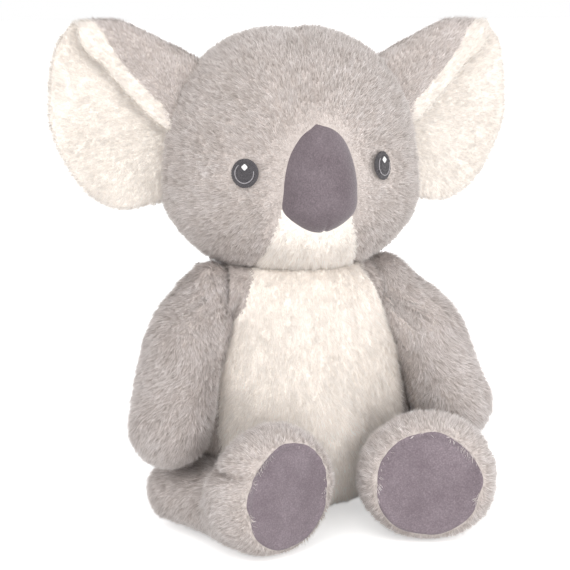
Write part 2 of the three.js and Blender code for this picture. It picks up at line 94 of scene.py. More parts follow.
# Torso
TORSO_HEIGHT = 150.0
TORSO_HALF_WIDTH = 62.0
TORSO_FRONT = 54.0
TORSO_BACK = 46.0
TORSO_FULL_POWER = 0.7
TORSO_WIDEST_SHARE = 0.3
BELLY_HEIGHTS = [-20.0, 10.0, 50.0, 88.0, 123.5, 190.0]
BELLY_HALVES = [40.0, 45.0, 49.0, 47.0, 29.0, 29.0]
FLAT_DEPTH = 0.5  # torso and legs reach this far below the ground, before they lie flat on it

# Head
HEAD_TURN = -4.5
NECK_BACK = 4.0
HEAD_BOTTOM = 123.5
HEAD_HEIGHT = 120.0
HEAD_MIDDLE = HEAD_BOTTOM + HEAD_HEIGHT / 2
HEAD_HALF_WIDTH = 63.5
HEAD_FRONT = 55.5
HEAD_BACK = 53.0
HEAD_SEAT_RADIUS = 58.5
HEAD_RISE = 67.5  # from its widest ring up to its crown
HEAD_FALL = 55.5
HEAD_WIDEST = 177.5
HEAD_UPPER_POWER = 2.25  # of the curve from side to crown; 2 would be an ellipse
HEAD_LOWER_POWER = 2.9
HEAD_ROUND = (-0.85, -0.3)  # from here down it is round, so that it turns in its seat
HEAD_SWINGS = (0.0, -17.0, 17.0, -35.0, 35.0)  # off rest, where it presses on the torso
FACE_SEAM_BACK = 4.0
CHIN_HEIGHTS = [100.0, 123.5, 157.5, 176.0]
CHIN_HALVES = [27.0, 26.5, 17.5, 12.0]
CHIN_TOP = 168.0

# Nose and eyes
NOSE_HALF_WIDTH = 19.6
NOSE_HEIGHT = 54.5
NOSE_BOTTOM = HEAD_MIDDLE - 37.0
NOSE_PROUD = 10.0
NOSE_ASIDE = 1.6
NOSE_DEPTH = 20.0
NOSE_WIDEST_SHARE = 0.38
NOSE_UNDER = 0.8  # its hidden back lies this far inside the head
NOSE_FULL_LOW = 0.09  # wider than an ellipse towards its lower corners
EYE_RADIUS = 7.4
EYE_OUT = 33.3
EYE_TURN = {"left": 41.0, "right": 34.0}  # off straight ahead
EYE_TILT = 0.9  # the left eye is higher than the middle by this, the right one lower
EYE_HEIGHT = HEAD_MIDDLE - 6.0
EYE_SEEDS = {"left": 101, "right": 102}
EYE_PROUD = 2.3  # off the head's skin, up to the top of the pile around it
EYE_DOME = 1.15
EYE_RINGS = ((62, 4.9, 7.0), (46, 3.4, 4.6), (30, 1.9, 3.3))  # stitches, inner and outer radius
PUPIL_STITCHES = 40
PUPIL_RADIUS = 2.0
EYE_LINE_RADIUS = 4.75
EYE_LINE_PROUD = 0.22
EYE_LINE_TURN = (128, 372)  # degrees, so that it is open at the top
EYE_LINE_STITCHES = 39
GLINT_STITCHES = 6
GLINT_HALF_WIDTH = 1.15
GLINT_HALF_HEIGHT = 1.85
STITCH_SIDES = 6
STITCH_RINGS = ((0.0, 0.35), (0.18, 0.9), (0.5, 1.0), (0.82, 0.9), (1.0, 0.35))  # along it, and how thick

# Arms
SHOULDER = (48.0, -6.0, 112.0)
SHOULDER_RADIUS = 21.0
ARM_LENGTH = 69.0
ARM_SWELL = 22.6
ARM_BOW = 6.0
PAW_RADIUS = 22.5
ARM_CAP = 0.28  # of the turn from end to end is each round end
ARM_TURN = 42.0
ARM_DROP = 55.0
ARM_LIFTS = (0.0, 13.0, 26.0, 39.0, 52.0, 65.0)  # where the torso presses on it
SHOULDER_SLOPE = (-1.0, 4.5)  # sunk by so much towards the neck, and on the outside

# Legs
HIP = (62.0, -22.0, 0.0)
HIP_RADIUS = 24.0
HIP_HEIGHT = 36.0
LEG_LENGTH = 74.0
TOE_IN = {"left": 19.5, "right": 24.5}  # a soft toy's feet never point quite alike
FOOT_HALF_WIDTH = 34.0
LEG_RISE = 1.0  # the thigh lies this far off the ground
THIGH_FULL = 0.1  # of its half-width, added towards the ground on its outer side
HEEL_TAPER = {"left": 0.0, "right": 0.08}
THIGH_IN = 4.5
LEG_SPLAYS = (0.0, 10.0, 20.0, 30.0)  # where the torso presses on it
LEG_TURNS = (0.24, 0.66, 0.8)  # of the turn from end to end: up to here its rear, its tube and its rim
SIDE_CREASE = {"left": 0.6, "right": 4.6}
SIDE_CREASE_HEIGHT = 44.0
FOOT_HEIGHT = 64.0
FOOT_RIM = 14.0
FOOT_RIM_HALF = 25.0
FOOT_PLEATS = 26
LEG_CLEAR = 1.2  # its skin's least height over the ground
ANKLE_SHARE = 0.35
SOLE_RADIUS = 25.4
SOLE_CROWN = 1.4
SOLE_DROP = 1.6
SOLE_CLOTH = 0.6
SOLE_UNDER = 0.1

# Ears
EAR_ROOT = (55.0, 13.0, HEAD_MIDDLE + 17.5)
EAR_SWEEP = 3.0
EAR_BEND_IN = 6.0  # a stretch from inside its root to outside it
EAR_BEND_OUT = 14.0
EAR_HALF_THICKNESS = 4.4
EAR_EVEN_POWER = 0.9  # spaces its rings of points
EAR_EDGE_POWER = 0.55  # of the curve from its face to its rim
EAR_DISH = 6.0
EAR_DISH_HALVES = (46.0, 50.0)  # across and up
EAR_MIDDLE = (28.0, 0.0)
EAR_OUTLINE = [
    (64, 11), (63, 22), (61, 31), (57, 39), (-24, 38), (-22, 0),
    (-12, -28), (5, -41), (16, -45), (28, -47), (40, -43), (50, -34), (59, -19), (64, -4),
]
EAR_FLAP = [(50, 38), (42, 27), (27, 11), (7, -7), (0, 1), (-8, 9)]  # its free edge, folded down
EAR_ROLL_POINTS = 3.2  # so far along the flap, from point to point, its rim is white
EAR_ROLL = 8.0
EAR_BINDING = 4.5  # the front's cloth goes so far round the rim
EAR_FLAP_AFTER = 4  # the outline's points before it
FOLD_AT = (43.0, 45.0)  # the upper rim folds forward over a line from here to the head
FOLD_TO = (-10.0, 18.0)
FOLD_RADIUS = 4.4
FOLD_TURN = 168.0
FOLD_DROP = 9.0  # the fold bends down to the rim at its outer end
FOLD_DROP_FROM = (16.0, -12.0)


# Small helpers
def smooth(x, a, b):
    """From 0 at a to 1 at b."""
    t = np.clip((np.asarray(x, float) - a) / (b - a), 0, 1)
    return t * t * (3 - 2 * t)


def mix(a, b, t):
    return a + (b - a) * t


def near(x, width):
    """1 at x = 0, fading out within about a width."""
    return np.exp(-(x / width) ** 2)


def unit(v):
    return v / np.maximum(np.linalg.norm(v, axis=-1, keepdims=True), 1e-9)


def turned(v, axis, degrees):
    a = math.radians(degrees)
    c, s = math.cos(a), math.sin(a)
    m = {"x": [[1, 0, 0], [0, c, -s], [0, s, c]], "z": [[c, -s, 0], [s, c, 0], [0, 0, 1]]}[axis]
    return v @ np.array(m).T


def wave(p, size, seed):
    """Soft hills and hollows in space, about size across, from about -1 to 1."""
    rng = np.random.default_rng(seed)
    k = unit(rng.normal(size=(WAVES, 3))) * (2 * math.pi / size) * rng.uniform(0.7, 1.3, (WAVES, 1))
    phase = rng.uniform(0, 2 * math.pi, WAVES)
    return np.sin(p @ k.T + phase).mean(1) * 1.6


def cube_ball(n):
    """A unit ball of even quads: its points, and its faces by their corners."""
    t = np.tan(np.linspace(-math.pi / 4, math.pi / 4, n + 1))
    a, b = np.meshgrid(t, t, indexing="ij")
    one = np.ones_like(a)
    sides = [(one, a, b), (-one, b, a), (b, one, a), (a, -one, b), (a, b, one), (b, a, -one)]
    points = np.concatenate([np.stack(s, -1).reshape(-1, 3) for s in sides])
    i, j = np.meshgrid(np.arange(n), np.arange(n), indexing="ij")
    first = (i * (n + 1) + j).ravel()
    one_side = np.stack([first, first + n + 1, first + n + 2, first + 1], 1)
    quads = np.concatenate([one_side + k * (n + 1) ** 2 for k in range(6)])
    _, keep, same = np.unique(np.round(points, 6), axis=0, return_index=True, return_inverse=True)
    return unit(points[keep]), same.ravel()[quads]


# All forms are bent from one of these two balls, and a limb is made on the koala's left
BALL, BALL_QUADS = cube_ball(60)
BALL_EDGES = np.concatenate([BALL_QUADS[:, [k, (k + 1) % 4]] for k in range(4)])
SMALL, SMALL_QUADS = cube_ball(44)
SIDES = {"left": np.array([1, 1, 1]), "right": np.array([-1, 1, 1])}
NECK = np.array([0.0, NECK_BACK, 0.0])
HIP_MIDDLE = np.array(HIP) + [0, 0, HIP_HEIGHT / 2 - FLAT_DEPTH]
SOLE_MIDDLE = np.array([0.0, -LEG_LENGTH, FOOT_HEIGHT / 2 - SOLE_DROP])


def flipped(points, side, quads=BALL_QUADS):
    return points * SIDES[side], quads if side == "left" else quads[:, ::-1]


def normals_of(points, quads=BALL_QUADS):
    a, b, c, d = (points[quads[:, k]] for k in range(4))
    face = np.cross(c - a, d - b)
    total = np.zeros_like(points)
    for k in range(4):
        np.add.at(total, quads[:, k], face)
    return unit(total)


def tree_of(points, quads=BALL_QUADS):
    return BVHTree.FromPolygons(points.tolist(), quads.tolist())


def by_skin(points, tree, reach):
    """Each point near a closed skin: its index, the skin's place and normal there, and how far off."""
    for i, p in enumerate(points.tolist()):
        at, normal, _, _ = tree.find_nearest(p, reach)
        if at is not None:
            yield i, at, normal, (Vector(p) - at).dot(normal)


def pushed(points, tree, gap):
    """The points moved out of a closed skin, and which of them had to move."""
    out = points.copy()
    moved = np.zeros(len(points), bool)
    for i, at, normal, off in by_skin(points, tree, PUSH_REACH):
        if off < gap:
            out[i] = at + normal * gap
            moved[i] = True
    return out, moved


def off_skin(points, tree, far):
    """How far each point lies outside a closed skin, up to a distance; below zero is inside."""
    out = np.full(len(points), far)
    for i, _, _, off in by_skin(points, tree, far):
        out[i] = off
    return out


def pressed(points, tree, way, gap):
    """The points inside a closed skin moved along a way to just beyond its far side."""
    out = points.copy()
    moved = np.zeros(len(points), bool)
    for i, at, normal, off in by_skin(points, tree, PRESS_REACH):
        if off <= gap:
            ray = Vector(way[i]).normalized()
            hit, _, _, _ = tree.ray_cast(Vector(points[i]) + ray * 1e-3, ray, PRESS_REACH)
            out[i] = at + normal * gap if hit is None else hit + ray * gap
            moved[i] = True
    return out, moved


def relaxed(points, mask, rounds):
    """Laplacian smoothing of the points where mask is above zero."""
    p = points.copy()
    for _ in range(rounds):
        total = np.zeros_like(p)
        count = np.zeros(len(p))
        for one, other in (BALL_EDGES.T, BALL_EDGES.T[::-1]):
            np.add.at(total, one, p[other])
            np.add.at(count, one, 1)
        p += (total / count[:, None] - p) * (RELAX_SHARE * mask[:, None])
    return p


def spread(mask, rounds):
    """A mask widened over neighbouring points, fading out."""
    m = mask.astype(float)
    for _ in range(rounds):
        widened = m.copy()
        for one, other in (BALL_EDGES.T, BALL_EDGES.T[::-1]):
            np.maximum.at(widened, one, m[other])
        m = mix(m, widened, 0.8)
    return m


# Meshes and materials

def mesh_object(name, points, faces, material):
    """A smooth mesh; all its faces have as many corners."""
    mesh = bpy.data.meshes.new(name)
    size = faces.shape[1]
    mesh.vertices.add(len(points))
    mesh.vertices.foreach_set("co", (points * MM).astype(np.float32).ravel())
    mesh.loops.add(faces.size)
    mesh.loops.foreach_set("vertex_index", faces.astype(np.int32).ravel())
    mesh.polygons.add(len(faces))
    mesh.polygons.foreach_set("loop_start", np.arange(0, faces.size, size, dtype=np.int32))
    mesh.update(calc_edges=True)
    mesh.validate()
    mesh.shade_smooth()
    obj = bpy.data.objects.new(name, mesh)
    bpy.context.scene.collection.objects.link(obj)
    mesh.materials.append(material)
    return obj


def joined(parts):
    """Several (points, faces) as one."""
    points, faces, start = [], [], 0
    for p, f in parts:
        points.append(p)
        faces.append(f + start)
        start += len(p)
    return np.concatenate(points), np.concatenate(faces)


def nodes_of(name):
    material = bpy.data.materials.new(name)
    material.use_nodes = True
    tree = material.node_tree
    return material, tree, tree.nodes["Principled BSDF"]


def set_inputs(tree, node, **inputs):
    """Sets a node's inputs to values, or links them to other nodes' outputs."""
    for key, value in inputs.items():
        socket = node.inputs[key.replace("_", " ")]
        if isinstance(value, bpy.types.NodeSocket):
            tree.links.new(value, socket)
        else:
            socket.default_value = value
    return node


def linked(tree, kind, **inputs):
    return set_inputs(tree, tree.nodes.new(kind), **inputs)


def ranged(tree, value, low, high):
    return linked(tree, "ShaderNodeMapRange", Value=value, To_Min=low, To_Max=high).outputs["Result"]


def noise(tree, size, detail=3.0, rough=0.6):
    """Noise in the object's own space; size is that of its grain in metres."""
    place = tree.nodes.new("ShaderNodeTexCoord").outputs["Object"]
    node = linked(tree, "ShaderNodeTexNoise", Vector=place, Scale=1 / size, Detail=detail, Roughness=rough)
    return node.outputs["Fac"]


def even(value):
    return (value, value, value)


def ramp(tree, value, stops):
    """A colour by a value, from (value, colour) stops."""
    node = tree.nodes.new("ShaderNodeValToRGB")
    tree.links.new(value, node.inputs["Fac"])
    while len(node.color_ramp.elements) < len(stops):
        node.color_ramp.elements.new(0.5)
    for element, (at, colour) in zip(node.color_ramp.elements, stops):
        element.position = at
        element.color = (*colour, 1.0)
    return node.outputs["Color"]


def times(tree, a, b):
    node = tree.nodes.new("ShaderNodeMix")
    node.data_type = "RGBA"
    node.blend_type = "MULTIPLY"
    return set_inputs(tree, node, Factor=1.0, A=a, B=b).outputs["Result"]


def srgb(*values):
    """Colour as read off a screen, 0 to 255, as the shader wants it."""
    v = np.array(values, float) / 255
    return tuple(np.where(v <= 0.04045, v / 12.92, ((v + 0.055) / 1.055) ** 2.4).tolist())


def set_cloth(tree, shader, colour, rough_by, roughs, gloss=0.2, sheen=0.2, sheen_rough=0.5, bump=None):
    """Its roughness lies between two values by a texture; bump is a texture, a strength and a depth."""
    rough = ranged(tree, rough_by, *roughs)
    set_inputs(tree, shader, Base_Color=colour, Roughness=rough, Specular_IOR_Level=gloss, Sheen_Weight=sheen,
               Sheen_Roughness=sheen_rough)
    if bump is not None:
        height, strength, deep = bump
        node = linked(tree, "ShaderNodeBump", Height=height, Strength=strength, Distance=deep)
        set_inputs(tree, shader, Normal=node.outputs["Normal"])


def pile_material(name, root, middle, tip, patch, mottled, darkest):
    """Strands: coloured along their length, with each strand and each tuft a little different, and some
    pieces' pile painted lighter or darker to stand in for light and shade.
    """
    material, tree, shader = nodes_of(name)
    facts = tree.nodes.new("ShaderNodeAttribute")
    facts.attribute_name = "pile"
    parts = linked(tree, "ShaderNodeSeparateColor", Color=facts.outputs["Color"]).outputs
    colour = ramp(tree, parts["Red"], [(0.0, root), (0.45, middle), (1.0, tip)])
    for value, stops in (
        (parts["Green"], [(0.0, darkest), (1.0, even(1.12))]),
        (noise(tree, 0.008, 3.0, 0.7), [(0.35, mottled), (0.62, even(1.03))]),
        # Blue: each tuft's random tone, shifted per point by paler panels and by painted light and shade
        (parts["Blue"], [(0.0, patch), (1.0, even(1.1))]),
        (noise(tree, 0.03, 2.0), [(0.3, (0.94, 0.93, 0.92)), (0.7, even(1.04))]),
    ):
        colour = times(tree, colour, ramp(tree, value, stops))
    set_cloth(tree, shader, colour, parts["Green"], (0.72, 0.92))
    through = linked(tree, "ShaderNodeBsdfTranslucent", Color=colour)
    both = tree.nodes.new("ShaderNodeMixShader")
    both.inputs["Fac"].default_value = THROUGH_SHARE
    tree.links.new(shader.outputs["BSDF"], both.inputs[1])
    tree.links.new(through.outputs["BSDF"], both.inputs[2])
    tree.links.new(both.outputs["Shader"], tree.nodes["Material Output"].inputs["Surface"])
    return material


def backing_material(name, dark, light):
    """The cloth under the pile: a fine mottled nap."""
    material, tree, shader = nodes_of(name)
    fine = noise(tree, 0.0011, 4.0, 0.7)
    broad = ramp(tree, noise(tree, 0.02), [(0.3, even(0.93)), (0.7, even(1.05))])
    colour = times(tree, ramp(tree, fine, [(0.3, dark), (0.75, light)]), broad)
    set_cloth(tree, shader, colour, fine, (0.85, 1.0), 0.15, 0.3, 0.6, (fine, 0.6, 0.0008))
    return material


def suede_material(name, dark, light, pale_fleck):
    """Short-nap suede cloth: brushed patches, fine grain, and paler flecks in that grain."""
    material, tree, shader = nodes_of(name)
    grain = noise(tree, 1 / 1500, 3.0, 0.5)
    cloud = noise(tree, 1 / 70, 4.0)
    speck = ramp(tree, grain, [(0.36, even(0.8)), (0.54, even(1.0)), (0.7, pale_fleck)])
    colour = times(tree, ramp(tree, cloud, [(0.34, dark), (0.66, light)]), speck)
    set_cloth(tree, shader, colour, cloud, (0.8, 0.98), 0.2, 0.35, 0.4, (grain, 0.45, 0.0005))
    return material


def thread_material(name, dark, light):
    """Embroidery thread: a soft gloss, and each stitch a little different."""
    material, tree, shader = nodes_of(name)
    grain = noise(tree, 0.0007, 3.0, 0.7)
    colour = ramp(tree, grain, [(0.3, dark), (0.7, light)])
    set_cloth(tree, shader, colour, grain, (0.35, 0.6), gloss=0.5, bump=(grain, 0.25, 0.0002))
    return material


GREY_PILE = pile_material(
    "grey_pile", srgb(161, 152, 148), srgb(221, 214, 212), srgb(251, 249, 249), (0.94, 0.925, 0.91),
    (0.91, 0.895, 0.88), (0.7, 0.685, 0.67))
WHITE_PILE = pile_material(
    "white_pile", srgb(242, 235, 228), srgb(248, 244, 240), srgb(250, 249, 247), (0.98, 0.975, 0.97),
    (0.985, 0.98, 0.975), (0.86, 0.85, 0.84))
GREY_BACKING = backing_material("grey_backing", srgb(180, 169, 163), srgb(204, 195, 190))
WHITE_BACKING = backing_material("white_backing", srgb(240, 231, 221), srgb(250, 245, 239))
SUEDE = suede_material("suede", srgb(103, 93, 98), srgb(115, 105, 110), (1.26, 1.24, 1.24))
# painted light: the soles' pads take a paler copy of the nose's suede, standing in for light they lack in
# shade
SOLE_SUEDE_PAINTED_LIGHTER = suede_material("sole_suede_painted_lighter", srgb(115, 104, 110), srgb(129, 118, 124), (1.26, 1.25, 1.25))
THREAD_DARK = thread_material("thread_dark", srgb(48, 45, 49), srgb(74, 70, 74))
THREAD_GREY = thread_material("thread_grey", srgb(128, 124, 128), srgb(168, 164, 168))
THREAD_WHITE = thread_material("thread_white", srgb(236, 236, 236), srgb(255, 255, 255))


# Forms: each bends a unit ball's points u, and lies by inset inside the solid that it stands for

def up_share(height, widest):
    """A share of the height from one of -1 to 1, of which 0 is the widest place."""
    return np.where(height < 0, widest * (1 + height), mix(widest, 1.0, height))


def torso_form(u, inset):
    """The torso, fuller than an ellipse below its widest place."""
    share = up_share(u[:, 2], TORSO_WIDEST_SHARE)
    r = np.maximum(np.hypot(u[:, 0], u[:, 1]), 1e-4)
    full = np.where(share < TORSO_WIDEST_SHARE, r ** (TORSO_FULL_POWER - 1), 1.0)
    deep = np.where(u[:, 1] < 0, TORSO_FRONT, TORSO_BACK) - inset
    z = inset - FLAT_DEPTH + (TORSO_HEIGHT - 2 * inset) * share
    return np.stack([(TORSO_HALF_WIDTH - inset) * (u[:, 0] * full), deep * (u[:, 1] * full), z], 1)


def belly_half(z):
    return np.interp(z, BELLY_HEIGHTS, BELLY_HALVES)


def head_form(u, inset):
    """The head about its own axis."""
    up, out = u[:, 2], np.hypot(u[:, 0], u[:, 1])
    power = np.where(up > 0, HEAD_UPPER_POWER, HEAD_LOWER_POWER)
    v = u * ((out ** power + np.abs(up) ** power) ** (-1 / power))[:, None]
    wide = smooth(v[:, 2], *HEAD_ROUND)
    depth = mix(HEAD_BACK, HEAD_FRONT, smooth(-u[:, 1], -0.5, 0.5))
    tall = np.where(up > 0, HEAD_RISE, HEAD_FALL) - inset
    return np.stack([
        (mix(HEAD_SEAT_RADIUS, HEAD_HALF_WIDTH, wide) - inset) * v[:, 0],
        (mix(HEAD_SEAT_RADIUS, depth, wide) - inset) * v[:, 1],
        HEAD_WIDEST + tall * v[:, 2],
    ], 1)


def nose_form(u):
    full = 1 + NOSE_FULL_LOW * smooth(-u[:, 2], 0.0, 0.55) * smooth(u[:, 2], -1.0, -0.5)
    return np.stack([
        NOSE_HALF_WIDTH * u[:, 0] * full + NOSE_ASIDE,
        NOSE_DEPTH - HEAD_FRONT - NOSE_PROUD + NOSE_DEPTH * u[:, 1],
        NOSE_BOTTOM + NOSE_HEIGHT * up_share(u[:, 2], NOSE_WIDEST_SHARE),
    ], 1)


def arm_form(u, inset):
    """The arm hangs along -Z from the shoulder's middle, and bows towards -Y."""
    angle = np.arccos(np.clip(u[:, 2], -1, 1))
    across = unit(u[:, :2] + 1e-12)
    cap = math.pi * ARM_CAP
    t = (angle - cap) / (math.pi - 2 * cap)
    along = np.clip(t, 0, 1)
    swell = 2 * ARM_SWELL - (SHOULDER_RADIUS + PAW_RADIUS) / 2
    half = (1 - along) ** 2 * SHOULDER_RADIUS + 2 * along * (1 - along) * swell + along ** 2 * PAW_RADIUS
    top = np.clip(angle / cap, 0, 1) * math.pi / 2
    low = np.clip((math.pi - angle) / cap, 0, 1) * math.pi / 2
    r = np.where(t < 0, (SHOULDER_RADIUS - inset) * np.sin(top),
                 np.where(t > 1, (PAW_RADIUS - inset) * np.sin(low), half - inset))
    z = np.where(t < 0, (SHOULDER_RADIUS - inset) * np.cos(top),
                 np.where(t > 1, -ARM_LENGTH - (PAW_RADIUS - inset) * np.cos(low), -ARM_LENGTH * along))
    share = np.clip(-z / ARM_LENGTH, 0, 1)
    y = -ARM_BOW * np.sin(math.pi * share) ** 2
    return np.stack([r * across[:, 0], r * across[:, 1] + y, z], 1)


def leg_form(u, inset, heel):
    """The leg lies along -Y from the hip's axis, on the ground."""
    angle = np.arccos(np.clip(u[:, 1], -1, 1))  # 0 at the rear
    across = unit(u[:, [0, 2]] + 1e-12)
    rear, rim, flat = (math.pi * turn for turn in LEG_TURNS)
    t_rear = np.clip(angle / rear, 0, 1) * math.pi / 2
    t_tube = np.clip((angle - rear) / (rim - rear), 0, 1)
    t_rim = np.clip((angle - rim) / (flat - rim), 0, 1) * math.pi / 2
    t_flat = np.clip((math.pi - angle) / (math.pi - flat), 0, 1)
    rim_share = (FOOT_HALF_WIDTH - FOOT_RIM_HALF) / FOOT_HALF_WIDTH
    along = np.where(angle < rear, -(HIP_RADIUS - inset) * np.cos(t_rear),
                     np.where(angle < rim, (LEG_LENGTH - FOOT_RIM) * t_tube,
                              LEG_LENGTH - FOOT_RIM + (FOOT_RIM - inset) * np.sin(t_rim)))
    front = np.where(angle < flat, 1 - rim_share * (1 - np.cos(t_rim)), (1 - rim_share) * t_flat)
    share = np.where(angle < rear, np.sin(t_rear), np.where(angle < rim, 1.0, front))
    foot = smooth(along, ANKLE_SHARE * LEG_LENGTH, LEG_LENGTH - FOOT_RIM)
    rise = LEG_RISE * (1 - foot)
    wide = mix(HIP_RADIUS, FOOT_HALF_WIDTH, foot) - inset
    half = mix(HIP_HEIGHT, FOOT_HEIGHT, foot) / 2
    outer_low = smooth(-across[:, 1], 0.0, 0.9) * (across[:, 0] > 0)
    taper = mix(-THIGH_FULL, heel / 3, smooth(along, 50, 80)) + heel * near(along - 54, 17)
    return np.stack([
        wide * share * across[:, 0] * (1 - taper * outer_low) - THIGH_IN * (1 - foot),
        -along,
        half - FLAT_DEPTH + rise + (half - inset - rise / 2) * share * across[:, 1],
    ], 1)


def closed_spline(points, at):
    """A smooth closed line through the points, at turns from 0 to 1."""
    p = np.array(points, float)
    n = len(p)
    s = (np.asarray(at) % 1) * n
    i = np.floor(s).astype(int)
    t = (s - i)[:, None]
    a, b, c, d = (p[(i + k) % n] for k in (-1, 0, 1, 2))
    square, cube = 2 * a - 5 * b + 4 * c - d, 3 * b - a - 3 * c + d
    return 0.5 * (2 * b + (c - a) * t + square * t ** 2 + cube * t ** 3)


FOLD_LINE = unit(np.array(FOLD_TO) - FOLD_AT)
FOLD_UP = np.array([FOLD_LINE[1], -FOLD_LINE[0]])
FOLD_LIMIT = math.radians(FOLD_TURN)
FOLD_ARC = FOLD_RADIUS * FOLD_LIMIT


def to_fold(points):
    """How far each place is along the fold and up from it, and how far the fold bends down there."""
    rel = np.array(points, float) - FOLD_AT
    along = rel @ FOLD_LINE
    drop = FOLD_DROP * smooth(-along, *(-v for v in FOLD_DROP_FROM))
    return along, rel @ FOLD_UP + drop, drop


def from_fold(along, up, drop):
    return FOLD_AT + along[:, None] * FOLD_LINE + (up - drop)[:, None] * FOLD_UP


def unfolded(points):
    """Places on the flat pattern of points that lie on the folded flap."""
    along, up, drop = to_fold(points)
    past = (up - FOLD_RADIUS * math.sin(FOLD_LIMIT)) / math.cos(FOLD_LIMIT)
    return from_fold(along, past + FOLD_ARC, drop)


EAR_PATTERN = EAR_OUTLINE[:EAR_FLAP_AFTER] + unfolded(EAR_FLAP).tolist() + EAR_OUTLINE[EAR_FLAP_AFTER:]


def ear_sheet(flat, deep):
    """A place on or off the ear's middle sheet, with its upper rim folded forward."""
    along, up, drop = to_fold(flat)
    arc = np.clip(up / FOLD_RADIUS, 0, FOLD_LIMIT)
    past = np.maximum(up - FOLD_ARC, 0)
    over = np.where(up > 0, FOLD_RADIUS * np.sin(arc) + past * math.cos(FOLD_LIMIT), up)
    fore = np.where(up > 0, FOLD_RADIUS * (1 - np.cos(arc)) + past * math.sin(FOLD_LIMIT), 0)
    x, z = from_fold(along, over, drop).T
    out = np.hypot((x - EAR_MIDDLE[0]) / EAR_DISH_HALVES[0], (z - EAR_MIDDLE[1]) / EAR_DISH_HALVES[1])
    bow = -EAR_DISH * np.clip(out, 0, 1.25) ** 2
    raised = deep * np.sin(arc)
    return np.stack([x + raised * FOLD_UP[0], bow - fore + deep * np.cos(arc), z + raised * FOLD_UP[1]], 1)


def ear_form(u, inset):
    """The ear in its own frame, X out from its root, and where on its flat pattern each point is."""
    turn = np.arctan2(u[:, 2], u[:, 0]) / (2 * math.pi) % 1
    angle = np.arcsin(np.clip(np.hypot(u[:, 0], u[:, 2]), 0, 1))
    from_middle = np.sin(angle) ** EAR_EVEN_POWER
    edge = closed_spline(EAR_PATTERN, turn) - EAR_MIDDLE
    shrink = 1 - inset / np.linalg.norm(edge, axis=1)
    flat = np.array(EAR_MIDDLE) + edge * (from_middle * shrink)[:, None]
    deep = EAR_HALF_THICKNESS * np.sign(u[:, 1]) * np.abs(np.cos(angle)) ** EAR_EDGE_POWER
    return ear_sheet(flat, deep), flat


# From a piece's own frame to the toy's, and back

def head_to_row(p):
    return turned(p, "z", HEAD_TURN) + [0, NECK_BACK, 0]


def arm_to_row(p, lift=0.0):
    return turned(turned(p, "x", -(90 - ARM_DROP) - lift), "z", ARM_TURN) + SHOULDER


def arm_from_row(p, lift=0.0):
    return turned(turned(p - SHOULDER, "z", -ARM_TURN), "x", (90 - ARM_DROP) + lift)


def leg_to_row(p, toe, splay=0.0):
    return turned(p, "z", -toe + splay) + HIP


def leg_from_row(p, toe, splay=0.0):
    return turned(p - HIP, "z", toe - splay)


def tangent(v, n):
    """The part of each way that lies in a skin with normals n."""
    return unit(v - (v * n).sum(1, keepdims=True) * n)


def swirled(way, points, n, size, amount, seed):
    """A way that wanders over the skin, as brushed pile does."""
    bent = np.stack([wave(points, size, seed + k) for k in range(3)], 1) * amount
    return tangent(way + bent, n)


# Pile

def nearest(points, centres):
    """The index of each point's nearest centre."""
    tree = KDTree(len(centres))
    for i, c in enumerate(centres.tolist()):
        tree.insert(c, i)
    tree.balance()
    return np.array([tree.find(p)[1] for p in points.tolist()])


def flattened(mask):
    """1 where pile stands free, less where a neighbour presses it flat and sparse."""
    return 1.0 - PRESSED_SHARE * (1.0 - spread(~mask, 2).round())


